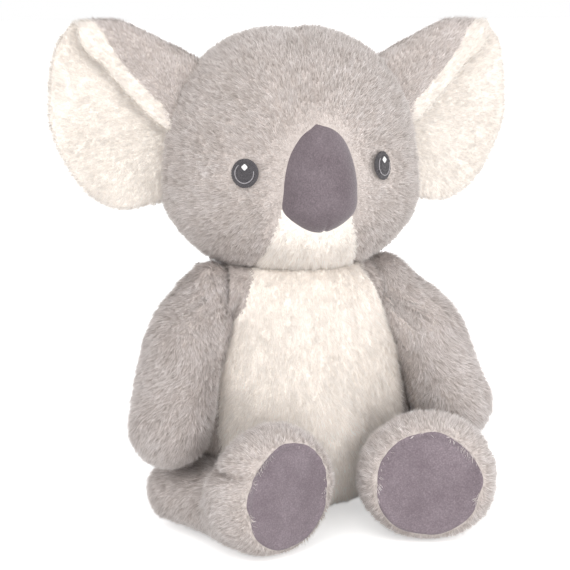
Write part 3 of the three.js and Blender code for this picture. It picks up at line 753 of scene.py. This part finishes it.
def grow(kind, form, length, comb, weight, material, side=None, width=STRAND_WIDTH, ground=None,
         inside=None, tone_and_painted_light=0.0):
    """Strands of pile on a skin, as one mesh: each is a thin blade that leans with the comb.

    Where inside, a distance to the pile's border, is given, none grows beyond that border.
    """
    points, quads = form
    count, seed = PILES[kind]
    rng = np.random.default_rng(seed + (RIGHT_SEED if side == "right" else 0))
    normal = normals_of(points, quads)
    tris = np.concatenate([quads[:, [0, 1, 2]], quads[:, [0, 2, 3]]])
    a, b, c = (points[tris[:, k]] for k in range(3))
    area = np.linalg.norm(np.cross(b - a, c - a), axis=1) * weight[tris].mean(1)
    count = int(count * STRAND_SHARE)
    chosen = rng.choice(len(tris), count, p=area / area.sum())
    s, t = rng.random((2, count))
    over = s + t > 1
    s[over], t[over] = 1 - s[over], 1 - t[over]
    share = np.stack([1 - s - t, s, t], 1)

    def at(values):
        picked = values[tris[chosen]]
        return (picked * (share[..., None] if picked.ndim == 3 else share)).sum(1)

    if inside is not None:
        kept = at(inside) > rng.normal(size=count) * BORDER_BLUR
        chosen, share, count = chosen[kept], share[kept], int(kept.sum())
    root = at(points)
    n = unit(at(normal))
    leaders = rng.choice(count, max(1, count // TUFT_STRANDS), replace=False)
    lead = leaders[nearest(root, root[leaders])]
    loose = rng.normal(size=(count, 3)) * STRAND_STRAY
    way = tangent(at(comb) + loose * 1.3 + loose[lead], n)
    single, tuft = (rng.normal(size=count) * degrees for degrees in LEAN_SPREAD)
    tilt = np.radians(STRAND_LEAN + single + tuft[lead])[:, None]
    single, tuft = (rng.uniform(*shares, count) for shares in REACH_SPREAD)
    reach = (at(length) * single * tuft[lead])[:, None]
    tip = root + (n * np.cos(tilt) + way * np.sin(tilt)) * reach
    tip = mix(tip, tip[lead], TUFT_GATHER * rng.uniform(0.4, 1.0, (count, 1)))
    if ground is not None:
        tip[:, 2] = np.maximum(tip[:, 2], ground)
    along = unit(tip - root)
    across = unit(np.cross(along, n))
    roll = rng.uniform(-STRAND_ROLL, STRAND_ROLL, (count, 1))
    across = across * np.cos(roll) + np.cross(along, across) * np.sin(roll)
    half = across * (width / 2 / math.sqrt(STRAND_SHARE)) * rng.uniform(0.75, 1.2, (count, 1))
    low = root - n * ROOT_DEPTH
    corners = np.stack([low - half, low + half, tip], 1)
    shade = unit(n * 0.92 + along * 0.08)
    edge = np.array([-1, 1, 0])[None, :, None] * across[:, None] * 0.2
    normals = unit(shade[:, None] + edge)
    name = f"{kind}_pile_{side}" if side else f"{kind}_pile"
    obj = mesh_object(name, corners.reshape(-1, 3), np.arange(3 * count).reshape(-1, 3), material)
    facts = np.ones((count, 3, 4))
    facts[:, :, 0] = [0.0, 0.0, 1.0]
    facts[:, :, 1] = rng.random(count)[:, None]
    # the tuft's value is also shifted per point: paler panels, and painted light and shade that lighten or
    # darken whole pieces
    facts[:, :, 2] = np.clip(rng.random(count)[lead] + at(np.broadcast_to(tone_and_painted_light, len(points))), 0, 1)[:, None]
    layer = obj.data.attributes.new("pile", "FLOAT_COLOR", "POINT")
    layer.data.foreach_set("color", facts.astype(np.float32).ravel())
    obj.data.normals_split_custom_set_from_vertices(normals.reshape(-1, 3).tolist())
    return obj


def sunk(points, depth, quads=BALL_QUADS):
    return points - normals_of(points, quads) * depth[:, None]


def chin_half(z):
    return np.interp(z, CHIN_HEIGHTS, CHIN_HALVES)


# The head's skin, with its seams, dimples and cheeks
head_own = head_form(BALL, HEAD_INSET)
x, y, z = head_own.T
in_front = smooth(-y, -8, 12)
above_nose = in_front * smooth(z, NOSE_BOTTOM + 34, NOSE_BOTTOM + 46)
crown = smooth(z, HEAD_MIDDLE + 42, HEAD_BOTTOM + HEAD_HEIGHT)
face_seam = near(y - FACE_SEAM_BACK, 2.4) * smooth(z, HEAD_BOTTOM + 12, HEAD_BOTTOM + 30)
sockets = near(np.hypot(np.abs(x) - EYE_OUT, z - EYE_HEIGHT), 9.0) * in_front
cheeks = near(np.hypot((np.abs(x) - 42) / 1.2, z - (HEAD_MIDDLE - 24)), 20.0) * in_front
jowls = near(np.hypot((np.abs(x) - 60) / 1.2, z - (HEAD_WIDEST - 19)), 20.0)
muzzle = near(np.hypot(x / 1.1, (z - NOSE_BOTTOM - 4) / 1.2), 16.0) * in_front
chin_edge = near(np.abs(x) - chin_half(z), 2.2) * in_front * smooth(-z, -CHIN_TOP - 4, -CHIN_TOP + 6)
depth = (
    1.5 * above_nose * near(x, 1.8) + 1.0 * crown * near(x, 9.0) + 0.5 * face_seam + 1.1 * sockets
    + 0.9 * chin_edge - 1.4 * cheeks - 2.2 * jowls - 0.5 * muzzle
    + 0.4 * wave(head_own, 34, 11) + 0.15 * wave(head_own, 12, 12)
)
head_own = sunk(head_own, depth)
head = head_to_row(head_own)
head_tree = tree_of(head)

# The torso's skin, pressed down by the head and hollowed by the roots of arms and legs
torso = torso_form(BALL, TORSO_INSET)
x, y, z = torso.T
belly_edge = near(np.abs(x) - belly_half(z), 2.4) * (y < 0)
armpit = near(np.abs(x) - belly_half(z) - 1.0, 1.8) * (y < 0) * smooth(z, 90, 97) * (1 - smooth(z, 110, 117))
flank = near(z - 58, 16.0) * smooth(np.abs(x), 42, 54) * (y < 6)
back_seam = near(x, 2.2) * (y > 0)
shoulder_pad = near(np.hypot((np.abs(x) - 38) / 1.2, z - 116), 13.0) * (y < -4)
paunch = near(np.hypot(x / 1.5, (z - 48) / 1.3), 26.0) * (y < 0)
depth = (
    0.9 * belly_edge + 2.4 * armpit - 1.6 * flank + 0.9 * back_seam - 1.0 * paunch - 5.5 * shoulder_pad
    + 0.6 * wave(torso, 36, 31) + 0.35 * wave(torso * [1, 1, 0.6], 14, 32)
)
torso = sunk(torso, depth)
inward = unit(np.stack([-torso[:, 0], -torso[:, 1], 0 * torso[:, 2]], 1))
covered_torso = np.zeros(len(torso), bool)
for swing in HEAD_SWINGS:
    swung = tree_of(turned(head - NECK, "z", swing) + NECK)
    torso, moved = pressed(torso, swung, np.tile([0.0, 0.0, -1.0], (len(torso), 1)), CONTACT_GAP)
    covered_torso |= moved
for mirror in SIDES.values():
    for centre, radii, inset in (
        (SHOULDER, SHOULDER_RADIUS, ARM_INSET),
        (HIP_MIDDLE, (HIP_RADIUS, HIP_RADIUS, HIP_HEIGHT / 2), LEG_INSET),
    ):
        root = SMALL * (np.array(radii) - inset + CONTACT_GAP) + centre * mirror
        torso, moved = pressed(torso, tree_of(root, SMALL_QUADS), inward, SOCKET_GAP)
        covered_torso |= moved
touched = spread(covered_torso, 2)
torso = relaxed(torso, touched * ~covered_torso, 3)


def round_sole(own):
    """How far from the sole's middle, and at what turn about it, a point of the leg lies."""
    x, _, z = own.T
    return np.hypot(x, z - SOLE_MIDDLE[2]), np.arctan2(z - SOLE_MIDDLE[2], x)


def side_fold(own):
    """Where the foot folds over the leg, on its outside."""
    x, y, z = own.T
    fold = near(z - SIDE_CREASE_HEIGHT, 2.6) * (x > 0) * smooth(-y, 24, 36)
    return fold * (1 - smooth(-y, LEG_LENGTH - 6, LEG_LENGTH))


def made_leg(side, torso_tree):
    """The leg and its foot: a gathered rim round the sole, and a crease over the ankle."""
    own = leg_form(BALL, LEG_INSET, HEEL_TAPER[side])
    x, y, z = own.T
    from_sole, turn = round_sole(own)
    on_rim = smooth(-y, LEG_LENGTH - 20, LEG_LENGTH - 8)
    pleats = np.cos(turn * FOOT_PLEATS + 2.0 * wave(own, 30, 41)) * smooth(from_sole, 20, 25)
    pleats *= 0.25 + 0.75 * near(turn - 2.4, 0.7)
    ankle = near(-y - ANKLE_SHARE * LEG_LENGTH - 6, 3.2) * smooth(z, 12, 30)
    under_sole = smooth(-y, LEG_LENGTH - 6, LEG_LENGTH - 1)
    under_sole *= smooth(-from_sole, -SOLE_RADIUS - 0.5, -SOLE_RADIUS + 4)
    depth = (
        0.4 * on_rim * pleats + 3.6 * ankle + side_fold(own) * SIDE_CREASE[side] + 1.6 * under_sole
        + 0.6 * wave(own, 34, 42) + 0.2 * wave(own, 14, 43)
    )
    own = sunk(own, depth * smooth(own[:, 2], 1.0, 8.0))
    own[:, 2] = np.maximum(own[:, 2], LEG_CLEAR)
    for splay in LEG_SPLAYS:
        row, moved = pushed(leg_to_row(own, TOE_IN[side], splay), torso_tree, CONTACT_GAP)
        own = leg_from_row(row, TOE_IN[side], splay)
        if splay == 0.0:
            covered = moved
    return own, covered


def made_arm(neighbours):
    """The arm, pushed out of the torso at each lift, and at rest out of the leg and the head too."""
    own = arm_form(BALL, ARM_INSET)
    shoulder = smooth(own[:, 2], -16, 10)
    slope = mix(*SHOULDER_SLOPE, smooth(own[:, 0], -8, 12))
    own = sunk(own, 0.6 * wave(own, 32, 21) + 0.2 * wave(own, 12, 22) + shoulder * slope)
    covered = np.zeros(len(own), bool)
    for lift in ARM_LIFTS:
        row = arm_to_row(own, lift)
        for tree in neighbours if lift == 0.0 else neighbours[:1]:
            row, moved = pushed(row, tree, CONTACT_GAP)
            if lift == 0.0:
                covered |= moved
        own = arm_from_row(row, lift)
    own = relaxed(own, spread(covered, 3), 4)
    row, _ = pushed(arm_to_row(own), neighbours[0], CONTACT_GAP)
    return arm_from_row(row), covered


ear_own, ear_flat = ear_form(BALL, EAR_INSET)
ear_in_head = turned(ear_own, "z", EAR_SWEEP) + EAR_ROOT


# Pieces

def rides(obj, body, slot, *nodes):
    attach(obj, body)
    if nodes:
        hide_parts(*nodes)
    return obj


def skin(name, points, quads, material, body, slot, nodes, fill):
    obj = rides(mesh_object(name, points, quads, material), body, slot, *nodes)
    return obj


def paint(obj, material, mask, quads=BALL_QUADS):
    """Faces whose corners are mostly in the mask take a second material."""
    obj.data.materials.append(material)
    picked = (mask[quads].mean(1) > 0.5).astype(np.int32)
    obj.data.polygons.foreach_set("material_index", picked)


head_skin = skin(
    "head_skin", head, BALL_QUADS, GREY_BACKING, "head", "grey_pile",
    ["head_back_panel", "face_panel_left", "face_panel_right", "chin_panel", "head_filling"], 0.85)
torso_skin = skin(
    "torso_skin", torso, BALL_QUADS, GREY_BACKING, "torso", "grey_pile",
    ["torso_filling", "bean_pouch", "seat_panel", "belly_panel", "back_panel_left", "back_panel_right"], 0.75)

# How far each point lies inside the border of the white cloth
x, y, z = head_own.T
in_chin = np.minimum.reduce([2 - y, chin_half(z) - np.abs(x), CHIN_TOP - z])
paint(head_skin, WHITE_BACKING, in_chin > 0)
x, y, z = torso.T
in_belly = np.minimum(-2 - y, belly_half(z) - np.abs(x))
paint(torso_skin, WHITE_BACKING, in_belly > 0)

# Nose, with a short seam at its lower tip
nose_own = nose_form(SMALL)
nose_tree = tree_of(head_to_row(nose_own), SMALL_QUADS)
x, y, z = nose_own.T
lower = smooth(-z, -NOSE_BOTTOM - 20, -NOSE_BOTTOM - 2)
depth = 0.7 * near(x - NOSE_ASIDE - 2.0, 0.8) * lower + 0.25 * wave(nose_own, 16, 51)
nose_own = sunk(nose_own, depth, SMALL_QUADS)
nose, _ = pushed(head_to_row(nose_own), head_tree, -NOSE_UNDER)
skin("nose_cover_skin", nose, SMALL_QUADS, SUEDE, "head", "suede", ["nose_cover", "nose_filling"], 0.8)


# Soles
def sole_rim(turn):
    """How far the sole's edge is from its middle."""
    wavy = 0.02 * np.cos(3 * turn + 0.6) + 0.014 * np.cos(5 * turn - 0.4) + 0.006 * np.cos(9 * turn)
    from_notch = np.remainder(turn + 0.2 + math.pi, 2 * math.pi) - math.pi
    return SOLE_RADIUS * (1 + wavy - 0.06 * near(from_notch, 0.2))


def sole_form(leg_own):
    """The sole lies on the foot's end, proud in its middle."""
    x, y, z = SMALL.T
    r = np.hypot(x, z)
    rim = sole_rim(np.arctan2(z, x))
    p = np.stack([rim * x, 0 * y, rim * z], 1) + SOLE_MIDDLE
    tree = tree_of(leg_own)
    for i, q in enumerate(p.tolist()):
        hit, _, _, _ = tree.ray_cast(Vector((q[0], q[1] - 40, q[2])), Vector((0, 1, 0)), PRESS_REACH)
        p[i, 1] = hit[1]
    crease = near(p[:, 2] - SOLE_MIDDLE[2] + 4 + 0.1 * p[:, 0], 2.0) * smooth(p[:, 0], 4, SOLE_RADIUS)
    proud = SOLE_CLOTH * np.abs(y) ** 0.4 + SOLE_CROWN * (1 - r ** 2) - 0.5 * crease + 0.15 * wave(p, 14, 52)
    p[:, 1] -= np.where(y < 0, proud, SOLE_UNDER)
    return p


def arm_pile(side, own, arm, covered, torso_tree, head_tree):
    """The arm's pile hangs towards the paw."""
    normal = normals_of(arm)
    to_paw = arm_to_row(np.tile([0.0, 0.0, -1.0], (len(arm), 1))) - np.array(SHOULDER)
    comb = swirled(tangent(to_paw + [0.2, 0.7, -0.3], normal), arm, normal, 30, 0.4, 63)
    by_head = off_skin(arm, head_tree, 12.0)
    # a smoother, paler band where the arm's inner panel meets the torso
    band = near(off_skin(arm, torso_tree, 30.0) - 7.0, 4.5) * smooth(-own[:, 2], 12, 26)
    length = ARM_PILE * (1 - 0.45 * band) * mix(0.3, 1.0, smooth(by_head, 0, 9)) * flattened(covered)
    # painted light: the whole arm's pile is painted lighter than the head's; the inner band is paler still
    pile = grow("arm", flipped(arm, side), length, comb * SIDES[side], flattened(covered),
                GREY_PILE, side, ground=FLOOR_CLEAR, tone_and_painted_light=0.8 + 0.5 * band)
    rides(pile, f"arm_{side}", "grey_pile")


def leg_pile(side, own, leg, covered):
    """The leg's pile lies along the thigh, and points away from the sole over the rim of the foot."""
    normal = normals_of(leg)
    x, y, z = own.T
    on_sole = smooth(-y, LEG_LENGTH - 12, LEG_LENGTH - 9)
    from_sole, turn = round_sole(own)
    ahead = np.tile([0.5, 0.3, -0.7], (len(leg), 1))
    outward = np.stack([x, 0 * x, z - SOLE_MIDDLE[2]], 1) / np.maximum(from_sole, 1)[:, None]
    on_front = smooth(-y, LEG_LENGTH - 22, LEG_LENGTH - 6)
    outward = outward * smooth(from_sole - SOLE_RADIUS, -2, 5)[:, None] + [0, 0.9, -0.2]
    comb = leg_to_row(mix(ahead, outward, on_front[:, None]), TOE_IN[side]) - np.array(HIP)
    comb = swirled(tangent(comb, normal), leg, normal, 30, 0.35, 64)
    off_sole = from_sole - sole_rim(turn) + 60 * (1 - on_sole) + 0.3
    # where the foot folds over the leg: shorter pile, and painted shade in the crease
    fold = side_fold(own) * SIDE_CREASE[side] / 5
    length = LEG_PILE * mix(0.35, 1.0, smooth(z, 1.6, 8)) * mix(1.0, 0.8, on_front) * flattened(covered)
    length *= 1 - 0.5 * fold
    # painted light: the whole leg's pile is painted lighter than the head's; it is also paler on the foot's
    # rim, and darker in the side crease as painted shade
    pile = grow("leg", flipped(leg, side), length, comb * SIDES[side], flattened(covered),
                GREY_PILE, side, ground=FLOOR_CLEAR, inside=off_sole, tone_and_painted_light=0.45 + 0.9 * on_front - 1.6 * fold)
    rides(pile, f"leg_{side}", "grey_pile")


for side in SIDES:
    by_torso, by_head = (tree_of(*flipped(form, side)) for form in (torso, head))
    leg_own, covered_leg = made_leg(side, by_torso)
    leg = leg_to_row(leg_own, TOE_IN[side])
    arm_own, covered_arm = made_arm([by_torso, tree_of(leg), by_head])
    arm = arm_to_row(arm_own)
    sole = leg_to_row(sole_form(leg_own), TOE_IN[side])
    skin(f"leg_skin_{side}", *flipped(leg, side), GREY_BACKING, f"leg_{side}", "grey_pile",
         [f"leg_outer_panel_{side}", f"leg_inner_panel_{side}", f"foot_outer_panel_{side}",
          f"foot_inner_panel_{side}", f"leg_filling_{side}"], 0.8)
    skin(f"sole_pad_{side}", *flipped(sole, side, SMALL_QUADS), SOLE_SUEDE_PAINTED_LIGHTER, f"leg_{side}", "suede",
         [f"sole_{side}"], 0.5)
    skin(f"arm_skin_{side}", *flipped(arm, side), GREY_BACKING, f"arm_{side}", "grey_pile",
         [f"arm_outer_panel_{side}", f"arm_inner_panel_{side}", f"arm_filling_{side}"], 0.7)
    arm_pile(side, arm_own, arm, covered_arm, by_torso, by_head)
    leg_pile(side, leg_own, leg, covered_leg)

# Pile of the head
x, y, z = head_own.T
head_normal = normals_of(head)
nose_spot = head_to_row(np.array([[0.0, -60.0, HEAD_MIDDLE - 8]]))
from_nose = tangent(head - nose_spot, head_normal)
down = tangent(np.tile([0.0, 0.9, -1.0], (len(head), 1)), head_normal)
head_comb = swirled(mix(from_nose, down, smooth(y, 0, 40)[:, None]), head, head_normal, 40, 0.35, 61)
off_nose = off_skin(head, nose_tree, 12.0)
off_eye = np.hypot(np.abs(x) - EYE_OUT, z - EYE_HEIGHT) + 99 * (y > -20) - EYE_RADIUS + 0.6
open_face = np.minimum(off_nose - 0.1, off_eye)
open_head = mix(0.25, 1.0, smooth(z, HEAD_BOTTOM + 1.5, HEAD_BOTTOM + 7))
seam = np.maximum.reduce([
    near(x, 1.3) * above_nose, 0.4 * near(y - FACE_SEAM_BACK, 1.3) * smooth(z, 140, 160),
    near(np.abs(x) - chin_half(z), 1.3) * in_front * (z < CHIN_TOP),
])
head_length = HEAD_PILE * (1 - 0.45 * seam) * mix(0.4, 1.0, smooth(off_nose, 0, 11))
head_length *= mix(0.6, 1.0, smooth(off_eye, 0, 7)) * (1 - 0.7 * near(x, 1.1) * crown * in_front)
form = (head, BALL_QUADS)
rides(grow("head", form, head_length, head_comb, open_head, GREY_PILE,
           inside=np.minimum(open_face, -in_chin)), "head", "grey_pile")
rides(grow("chin", form, head_length * 1.1, head_comb, open_head * (in_chin > -6), WHITE_PILE,
           inside=np.minimum(open_face, in_chin)), "head", "white_pile")

# Pile of the torso
x, y, z = torso.T
torso_normal = normals_of(torso)
down = tangent(np.stack([0.25 * x / 60, 0.1 * y / 60, -np.ones(len(x))], 1), torso_normal)
torso_comb = swirled(down, torso, torso_normal, 34, 0.32, 62)
open_torso = flattened(covered_torso)
seam = np.maximum(near(np.abs(x) - belly_half(z), 1.4) * (y < 0), near(x, 1.3) * (y > 0))
flat = smooth(z, 2.4, 9)
torso_length = TORSO_PILE * (1 - 0.4 * seam) * mix(0.35, 1.0, flat) * open_torso
form = (torso, BALL_QUADS)
rides(grow("back", form, torso_length, torso_comb, open_torso * (in_belly < 6), GREY_PILE,
           ground=FLOOR_CLEAR, inside=-in_belly), "torso", "grey_pile")
rides(grow("belly", form, torso_length, torso_comb, open_torso * (in_belly > -6), WHITE_PILE,
           width=BELLY_STRAND_WIDTH, ground=FLOOR_CLEAR, inside=in_belly), "torso", "white_pile")

# Ears: where on the flat pattern the front's white cloth ends and the back's grey cloth begins
rim_at = np.linspace(0, 1, 600, endpoint=False)
rim_line = closed_spline(EAR_PATTERN, rim_at)
closest = nearest(np.c_[ear_flat, 0 * ear_flat[:, 0]], np.c_[rim_line, 0 * rim_at])
on_flap = rim_at[closest] * len(EAR_PATTERN) - EAR_FLAP_AFTER
margin = np.where(on_flap > EAR_ROLL_POINTS, -1.0, EAR_BINDING)
margin = np.where(on_flap > len(EAR_FLAP), EAR_BINDING, margin)
on_roll = smooth(on_flap, -0.8, 0.6) * (1 - smooth(on_flap, EAR_ROLL_POINTS - 0.6, EAR_ROLL_POINTS))
margin = mix(margin, EAR_ROLL, on_roll)
from_rim = np.linalg.norm(ear_flat - rim_line[closest], axis=1)
in_back = np.where(BALL[:, 1] > 0, from_rim, -from_rim) - margin + 0.3 * wave(ear_own, 9, 66)


def ear_pieces(side):
    """An ear's skin, and its white and grey piles."""
    def blended(obj, slot):
        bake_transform(obj)
        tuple(root)
        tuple(past)

    base, quads = flipped(ear_in_head, side)
    points, covered = pushed(head_to_row(base), head_tree, CONTACT_GAP)
    ends = np.array(EAR_ROOT) + [[-EAR_BEND_IN, 0, 0], [EAR_BEND_OUT, 0, 0]]
    root, past = head_to_row(ends * SIDES[side]) * MM
    obj = mesh_object(f"ear_skin_{side}", points, quads, WHITE_BACKING)
    paint(obj, GREY_BACKING, in_back > 0, quads)
    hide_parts(f"ear_front_{side}", f"ear_back_{side}", f"ear_wadding_{side}")
    blended(obj, "white_pile")
    normal = normals_of(points, quads)
    outward = tangent(points - root / MM + [0, 0, 6], normal)
    comb = swirled(outward, points, normal, 30, 0.25, 65)
    length = np.full(len(points), EAR_PILE)
    # the ear fronts' white pile is painted darker and the backs' grey pile lighter, standing in for light and
    # shade
    for kind, inside, material, slot, tone_and_painted_light in (
        ("ear_front", -in_back, WHITE_PILE, "white_pile", -0.35),
        ("ear_back", in_back, GREY_PILE, "grey_pile", 0.7),
    ):
        weight = np.where(covered, 0.0, 1.0) * (inside > -6)
        pile = grow(kind, (points, quads), length, comb, weight, material, side, inside=inside, tone_and_painted_light=tone_and_painted_light)
        blended(pile, slot)


for side in SIDES:
    ear_pieces(side)


# Eyes
def stitches(starts, ends, n_up, width, height):
    """Raised stitches as closed six-sided grains."""
    line = unit(ends - starts)
    side = unit(np.cross(n_up, line))
    up = np.cross(line, side)
    parts = []
    for t, fat in STITCH_RINGS:
        centre = starts + (ends - starts) * t
        for k in range(STITCH_SIDES):
            a = k * 2 * math.pi / STITCH_SIDES
            wide, tall = width / 2 * fat * math.cos(a), height / 2 * fat * math.sin(a)
            parts.append(centre + side * wide + up * tall)
    faces = []
    for low in range(0, len(parts) - STITCH_SIDES, STITCH_SIDES):
        for k in range(STITCH_SIDES):
            m = (k + 1) % STITCH_SIDES
            faces.append([low + k, low + m, low + STITCH_SIDES + m, low + STITCH_SIDES + k])
    faces += [[5, 4, 1, 0], [4, 3, 2, 1], [24, 25, 28, 29], [25, 26, 27, 28]]  # its two ends
    faces = (np.array(faces)[None] + len(parts) * np.arange(len(starts))[:, None, None]).reshape(-1, 4)
    return np.stack(parts, 1).reshape(-1, 3), faces


def eye_dome(r, angle):
    """A place on the eye's low dome in its own frame: it faces -Y."""
    lift = EYE_DOME * (1 - np.clip(r / EYE_RADIUS, 0, 1) ** 2)
    return np.stack([r * np.cos(angle), -lift, r * np.sin(angle)], -1)


def eye_pieces(side):
    """A dark pad, rings of dark stitches and a pupil of them, a pale line, and a white glint."""
    sign = 1 if side == "left" else -1
    rng = np.random.default_rng(EYE_SEEDS[side])
    ahead = [sign * EYE_OUT, -90.0, EYE_HEIGHT + EYE_TILT * sign]
    spot = head_to_row(np.array([ahead, [0, 0, 0], [0, 1, 0]]))
    hit, normal, _, _ = head_tree.ray_cast(Vector(spot[0]), Vector(spot[2] - spot[1]), PRESS_REACH)
    out = unit(np.array(normal)[None])[0]
    turn_z = sign * EYE_TURN[side] + HEAD_TURN
    turn_x = math.degrees(math.asin(out[2]))
    base = np.array(hit) + out * EYE_PROUD

    def place(p):
        return turned(turned(p, "x", -turn_x), "z", turn_z) + base

    def sewn(starts, ends, width, height):
        return stitches(place(starts), place(ends), n_up, width, height)

    def shown(name, form, material, *nodes):
        rides(mesh_object(f"eye_{name}_{side}", *form, material), "head", "eye_thread", *nodes)

    n_up = place(np.array([[0.0, -1.0, 0.0]]))[0] - base
    r = np.hypot(SMALL[:, 0], SMALL[:, 2])
    flat = SMALL * [EYE_RADIUS - 0.5, 1, EYE_RADIUS - 0.5]
    flat[:, 1] = np.where(SMALL[:, 1] < 0, -1.1 * (1 - r ** 2), 2.4 * SMALL[:, 1])
    shown("pad", (place(flat), SMALL_QUADS), THREAD_DARK, f"eye_{side}")

    parts = []
    for n, inner, outer in EYE_RINGS:
        a = (np.arange(n) + rng.uniform(-0.25, 0.25, n)) * 2 * math.pi / n
        r0 = inner + rng.uniform(-0.25, 0.25, n)
        r1 = outer + rng.uniform(-0.45, 0.25, n)
        twist = rng.normal(size=n) * 0.05
        parts.append(sewn(eye_dome(r0, a), eye_dome(r1, a + twist), 0.62, 0.5))
    n = PUPIL_STITCHES
    a = rng.uniform(0, 2 * math.pi, n)
    starts = eye_dome(PUPIL_RADIUS * np.sqrt(rng.random(n)), a)
    ends = starts + np.stack([rng.normal(size=n) * 0.3, np.zeros(n), np.full(n, 1.0)], 1)
    parts.append(sewn(starts, ends, 0.5, 0.5))
    shown("stitches", joined(parts), THREAD_DARK)

    line = eye_dome(np.full(EYE_LINE_STITCHES + 1, EYE_LINE_RADIUS),
                    np.radians(np.linspace(*EYE_LINE_TURN, EYE_LINE_STITCHES + 1)))
    line[:, 1] -= EYE_LINE_PROUD
    starts, ends = line[:-1], line[1:]
    shown("line", sewn(starts, ends + (ends - starts) * 0.25, 0.55, 0.45), THREAD_GREY)

    xs = np.linspace(-GLINT_HALF_WIDTH, GLINT_HALF_WIDTH, GLINT_STITCHES)
    tall = GLINT_HALF_HEIGHT * (1 - np.abs(xs) / 1.75)
    shift = np.array([-0.2 * sign, -1.35, 2.9])
    low, high = (np.stack([xs, 0 * xs, to], 1) + shift for to in (-tall, tall * 0.9))
    shown("glint", sewn(low, high, 0.62, 0.6), THREAD_WHITE)


for side in SIDES:
    eye_pieces(side)


# Camera, lights and ground
CAMERA_AZIMUTH = -18.7
CAMERA_ELEVATION = 10.0
CAMERA_AWAY = 850.0
CAMERA_LENS = 105.0
CAMERA_SENSOR = 36.0
AIM_HEIGHT = 130.0
AIM_RIGHT = -2.4
AIM_UP = -16.4
SKY_LIGHT = 1.12  # what the sky gives the toy; the camera sees it as plain white
FLOOR_REACH = 14000.0
FLOOR_GLOW = 0.5  # seen by the camera alone, so that the floor is white and keeps its shadow

a, e = math.radians(CAMERA_AZIMUTH), math.radians(CAMERA_ELEVATION)
back = Vector((math.sin(a) * math.cos(e), -math.cos(a) * math.cos(e), math.sin(e)))
right = Vector((math.cos(a), math.sin(a), 0))
up = back.cross(right)
aim = Vector((0, NECK_BACK, AIM_HEIGHT)) + right * AIM_RIGHT + up * AIM_UP


def looking(name, data, place, way):
    """A camera or lamp at a place, in metres, that looks along a way."""
    obj = bpy.data.objects.new(name, data)
    obj.location = place
    obj.rotation_mode = "QUATERNION"
    obj.rotation_quaternion = way.to_track_quat("-Z", "Y")
    bpy.context.scene.collection.objects.link(obj)
    return obj


lens = bpy.data.cameras.new("camera")
lens.sensor_width = CAMERA_SENSOR
lens.lens = CAMERA_LENS
lens.clip_start, lens.clip_end = 0.01, 20.0
bpy.context.scene.camera = looking("camera", lens, (aim + back * CAMERA_AWAY) * MM, -back)


def lamp(name, place, aim_at, size, power, colour):
    light = bpy.data.lights.new(name, "AREA")
    light.shape = "DISK"
    light.size = size
    light.energy = power
    light.color = colour
    looking(name, light, place, Vector(aim_at) - Vector(place))


lamp("key", (-0.75, -1.1, 1.15), (0, 0, 0.12), 1.0, 7.5, (1.0, 0.99, 0.98))
lamp("fill", (0.3, -1.45, 0.3), (0, 0, 0.08), 1.2, 8.9, (1.0, 0.995, 0.99))


def by_camera(tree, unseen, seen):
    """One value for what the camera sees, straight or by gloss or glass, and another for other rays."""
    path = tree.nodes.new("ShaderNodeLightPath")
    value = path.outputs["Is Camera Ray"]
    for other in ("Is Glossy Ray", "Is Transmission Ray"):
        most = tree.nodes.new("ShaderNodeMath")
        most.operation = "MAXIMUM"
        tree.links.new(value, most.inputs[0])
        tree.links.new(path.outputs[other], most.inputs[1])
        value = most.outputs[0]
    return ranged(tree, value, unseen, seen)


world = bpy.data.worlds.new("studio")
world.use_nodes = True
tree = world.node_tree
set_inputs(tree, tree.nodes["Background"], Color=(1, 1, 1, 1), Strength=by_camera(tree, SKY_LIGHT, 1.0))
bpy.context.scene.world = world

floor_material, tree, shader = nodes_of("floor")
set_inputs(tree, shader, Base_Color=(0.93, 0.93, 0.93, 1), Roughness=0.9, Specular_IOR_Level=0.1,
           Emission_Color=(1, 1, 1, 1), Emission_Strength=by_camera(tree, 0.0, FLOOR_GLOW))
corners = FLOOR_REACH * np.array([[-1, -1, 0], [1, -1, 0], [1, 1, 0], [-1, 1, 0.0]])
floor = mesh_object("floor", corners, np.array([[0, 1, 2, 3]]), floor_material)

bpy.context.scene.view_settings.view_transform = "Standard"
